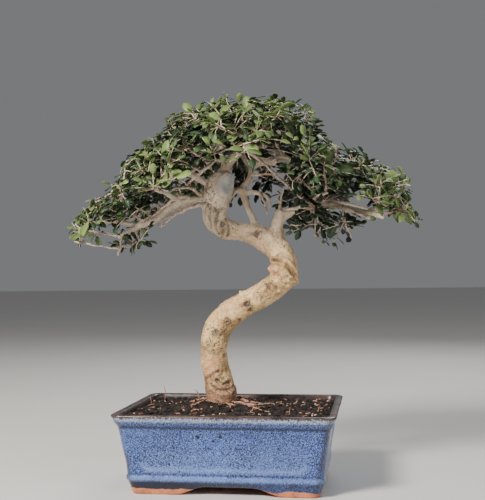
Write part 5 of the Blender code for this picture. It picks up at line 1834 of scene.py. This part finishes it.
class BonsaiPotSettings(bpy.types.PropertyGroup):
    """Colours of the pot."""

    glaze: colour_setting("Glaze", "Middle blue of the glaze", 48, 84, 166)
    glaze_deep: colour_setting("Deep glaze", "Deeper blue clouds", 26, 52, 126)
    # Also the painted highlights on the panels and the bead.
    glaze_pale_and_highlight: colour_setting("Pale glaze", "Lavender speckle", 132, 160, 222)
    # Also the painted shade in the waist above the bead.
    glaze_dark_and_shade: colour_setting("Dark glaze", "Navy speckle and the low band", 4, 8, 26)
    # The groove's colour is painted shade under the lip.
    groove_shade: colour_setting("Groove", "Glaze pooled in the groove", 8, 20, 38)
    glaze_break: colour_setting("Break", "Pale glaze on the edges", 196, 208, 214)
    glaze_pit: colour_setting("Pits", "Pinholes in the glaze", 14, 18, 32)
    rim: colour_setting("Rim", "Dark rim and corners", 40, 28, 27)
    rim_light: colour_setting("Rim light", "Lighter patches of the rim", 84, 66, 64)
    clay: colour_setting("Clay", "Bare clay of the feet", 214, 138, 98)
    clay_dark: colour_setting("Dark clay", "Darker patches of the clay", 176, 104, 70)


class BonsaiSoilSettings(bpy.types.PropertyGroup):
    """Colours and crumbs of the soil, and the drainage screens."""

    soil: colour_setting("Soil", "Near black soil", 12, 9, 8)
    soil_brown: colour_setting("Brown soil", "Lighter brown soil", 34, 25, 20)
    soil_red: colour_setting("Reddish bits", "Reddish bits in the soil", 98, 62, 46)
    grain: colour_setting("Grain", "Pale grains", 168, 132, 98)
    grain_pale: colour_setting("Pale grain", "Palest grains", 222, 200, 168)
    screen: colour_setting("Screen", "Plastic of the drainage screens", 24, 25, 26)
    crumbs: IntProperty(name="Crumbs", description="Small crumbs on the soil", default=2200,
                        min=0, max=6000)
    grains: IntProperty(name="Grains", description="Pale grains on the soil", default=60,
                        min=0, max=400)


class BonsaiWoodSettings(bpy.types.PropertyGroup):
    """Colours and fineness of the wood."""

    voxel: FloatProperty(name="Fineness", description="Size of the trunk's faces in millimetres",
                         default=0.95, min=0.6, max=3.0)
    bark: colour_setting("Bark", "Cream bark of the trunk", 240, 202, 142)
    bark_tan: colour_setting("Tan bark", "Darker clouds of the bark", 166, 130, 84)
    bark_blush: colour_setting("Blush", "Orange pink clouds of the bark", 214, 154, 108)
    bark_olive: colour_setting("Olive", "Olive film on the bark", 92, 82, 42)
    bark_grey: colour_setting("Grey bark", "Greyer bark of the limbs", 186, 176, 163)
    bark_pale: colour_setting("Pale bark", "Palest bark", 240, 226, 208)
    bark_foot: colour_setting("Foot", "Browner foot of the trunk", 132, 88, 64)
    # Also the painted shade in the hollows of scars and creases.
    bark_spot_and_shade: colour_setting("Spots", "Dark spots and hollows", 42, 30, 20)
    bark_brown: colour_setting("Brown", "Brown blots and stains", 86, 62, 36)
    bark_scar: colour_setting("Scar", "Grey healed cut at the top", 186, 188, 188)
    root: colour_setting("Root", "Fine surface roots", 206, 160, 134)
    root_brown: colour_setting("Brown root", "Browner roots", 150, 104, 80)
    twig: colour_setting("Twig", "Pale pinkish twigs", 232, 212, 192)
    twig_brown: colour_setting("Brown twig", "Browner twigs", 166, 140, 120)


class BonsaiLeafSettings(bpy.types.PropertyGroup):
    """Size, number and colours of the leaves."""

    leaf_length: FloatProperty(name="Leaf length", description="Usual leaf, in millimetres",
                               default=10.0, min=5.0, max=20.0)
    tries: IntProperty(name="Tries", description="Tries for side twigs in each round",
                       default=9000, min=0, max=60000)
    most_leaves: IntProperty(name="Most leaves", description="Leaves of the whole crown at most",
                             default=4600, min=500, max=8000)
    # Inner is partly painted shade inside the crown, and tip partly painted light at its skin.
    inner: colour_setting("Inner", "Dark leaves inside the crown", 18, 34, 21)
    middle: colour_setting("Middle", "Middle green", 60, 90, 56)
    tip: colour_setting("Tip", "Bright leaves at the tips", 152, 176, 102)
    dark: colour_setting("Dark", "Darker blotches", 14, 32, 20)
    vein: colour_setting("Vein", "Midrib, veins and stalk", 176, 188, 130)


class BonsaiStageSettings(bpy.types.PropertyGroup):
    """Floor, light and camera."""

    floor: colour_setting("Floor", "Pale floor", 216, 214, 210)
    air: colour_setting("Air", "Light from all round", 222, 224, 228)
    air_strength: FloatProperty(name="Air strength", description="Light from all round",
                                default=0.26, min=0.0)
    key: FloatProperty(name="Key", description="Main light in watts", default=46.0, min=0.0)
    fill: FloatProperty(name="Fill", description="Fill light in watts", default=6.0, min=0.0)
    back: FloatProperty(name="Back", description="Back light in watts", default=9.0, min=0.0)
    lens: FloatProperty(name="Lens", description="Focal length in millimetres", default=64.17,
                        min=10.0)
    camera_turn: FloatProperty(name="Turn", description="Camera's way round the tree",
                               subtype="ANGLE", default=math.radians(8.573))
    camera_pitch: FloatProperty(name="Pitch", description="How far the camera looks up",
                                subtype="ANGLE", default=math.radians(1.839))
    camera_roll: FloatProperty(name="Roll", description="Camera's tilt to the side",
                               subtype="ANGLE", default=math.radians(-0.595))


# Operators

class BONSAI_OT_pot(bpy.types.Operator):
    """Models the glazed pot."""

    bl_idname = "bonsai.pot"
    bl_label = "Pot"

    def execute(self, context):
        make_pot()
        return {"FINISHED"}


class BONSAI_OT_screens(bpy.types.Operator):
    """Gives the two drainage screens their plastic."""

    bl_idname = "bonsai.screens"
    bl_label = "Drainage screens"

    def execute(self, context):
        finish = screen_finish()
        for name in ("drainage_screen_left", "drainage_screen_right"):
            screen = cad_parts[name]
            screen.data.materials.clear()
            screen.data.materials.append(finish)
        return {"FINISHED"}


class BONSAI_OT_soil(bpy.types.Operator):
    """Models the soil with its crumbs and pale grains."""

    bl_idname = "bonsai.soil"
    bl_label = "Soil"

    def execute(self, context):
        make_soil_block()
        make_soil_crumbs()
        return {"FINISHED"}


class BONSAI_OT_roots(bpy.types.Operator):
    """Models the fine surface roots, sprigs and bits of wood."""

    bl_idname = "bonsai.roots"
    bl_label = "Roots and bits"

    def execute(self, context):
        make_roots_and_bits()
        return {"FINISHED"}


class BONSAI_OT_trunk(bpy.types.Operator):
    """Models the trunk and limbs."""

    bl_idname = "bonsai.trunk"
    bl_label = "Trunk and limbs"

    def execute(self, context):
        make_trunk()
        make_bare_twigs()
        return {"FINISHED"}


class BONSAI_OT_sprays(bpy.types.Operator):
    """Models the leafy sprays of the crown."""

    bl_idname = "bonsai.sprays"
    bl_label = "Leafy sprays"

    def execute(self, context):
        make_sprays()
        return {"FINISHED"}


class BONSAI_OT_stage(bpy.types.Operator):
    """Sets the floor, the lights and the camera."""

    bl_idname = "bonsai.stage"
    bl_label = "Stage"

    def execute(self, context):
        make_stage()
        make_camera()
        return {"FINISHED"}


OPERATORS = (BONSAI_OT_pot, BONSAI_OT_screens, BONSAI_OT_soil, BONSAI_OT_roots, BONSAI_OT_trunk,
             BONSAI_OT_sprays, BONSAI_OT_stage)
SETTINGS = {
    "bonsai_pot": BonsaiPotSettings, "bonsai_soil": BonsaiSoilSettings,
    "bonsai_wood": BonsaiWoodSettings, "bonsai_leaf": BonsaiLeafSettings,
    "bonsai_stage": BonsaiStageSettings,
}


class BONSAI_PT_panel(bpy.types.Panel):
    """Lists the pieces of the bonsai and their settings."""

    bl_idname = "BONSAI_PT_panel"
    bl_label = "Chinese elm bonsai"
    bl_space_type = "VIEW_3D"
    bl_region_type = "UI"
    bl_category = "Bonsai"

    def draw(self, context):
        for operator in OPERATORS:
            self.layout.operator(operator.bl_idname)
        for name, kind in SETTINGS.items():
            box = self.layout.box()
            box.label(text=kind.__doc__)
            for setting in kind.__annotations__:
                box.prop(getattr(context.scene, name), setting)


def register():
    for kind in (*SETTINGS.values(), *OPERATORS, BONSAI_PT_panel):
        bpy.utils.register_class(kind)
    for name, kind in SETTINGS.items():
        setattr(bpy.types.Scene, name, PointerProperty(type=kind))


def unregister():
    for name in SETTINGS:
        delattr(bpy.types.Scene, name)
    for kind in reversed((*SETTINGS.values(), *OPERATORS, BONSAI_PT_panel)):
        bpy.utils.unregister_class(kind)


def main():
    register()
    bpy.ops.bonsai.stage()
    bpy.ops.bonsai.pot()
    bpy.ops.bonsai.screens()
    bpy.ops.bonsai.soil()
    bpy.ops.bonsai.roots()
    bpy.ops.bonsai.trunk()
    bpy.ops.bonsai.sprays()


if __name__ == "__main__":
    main()
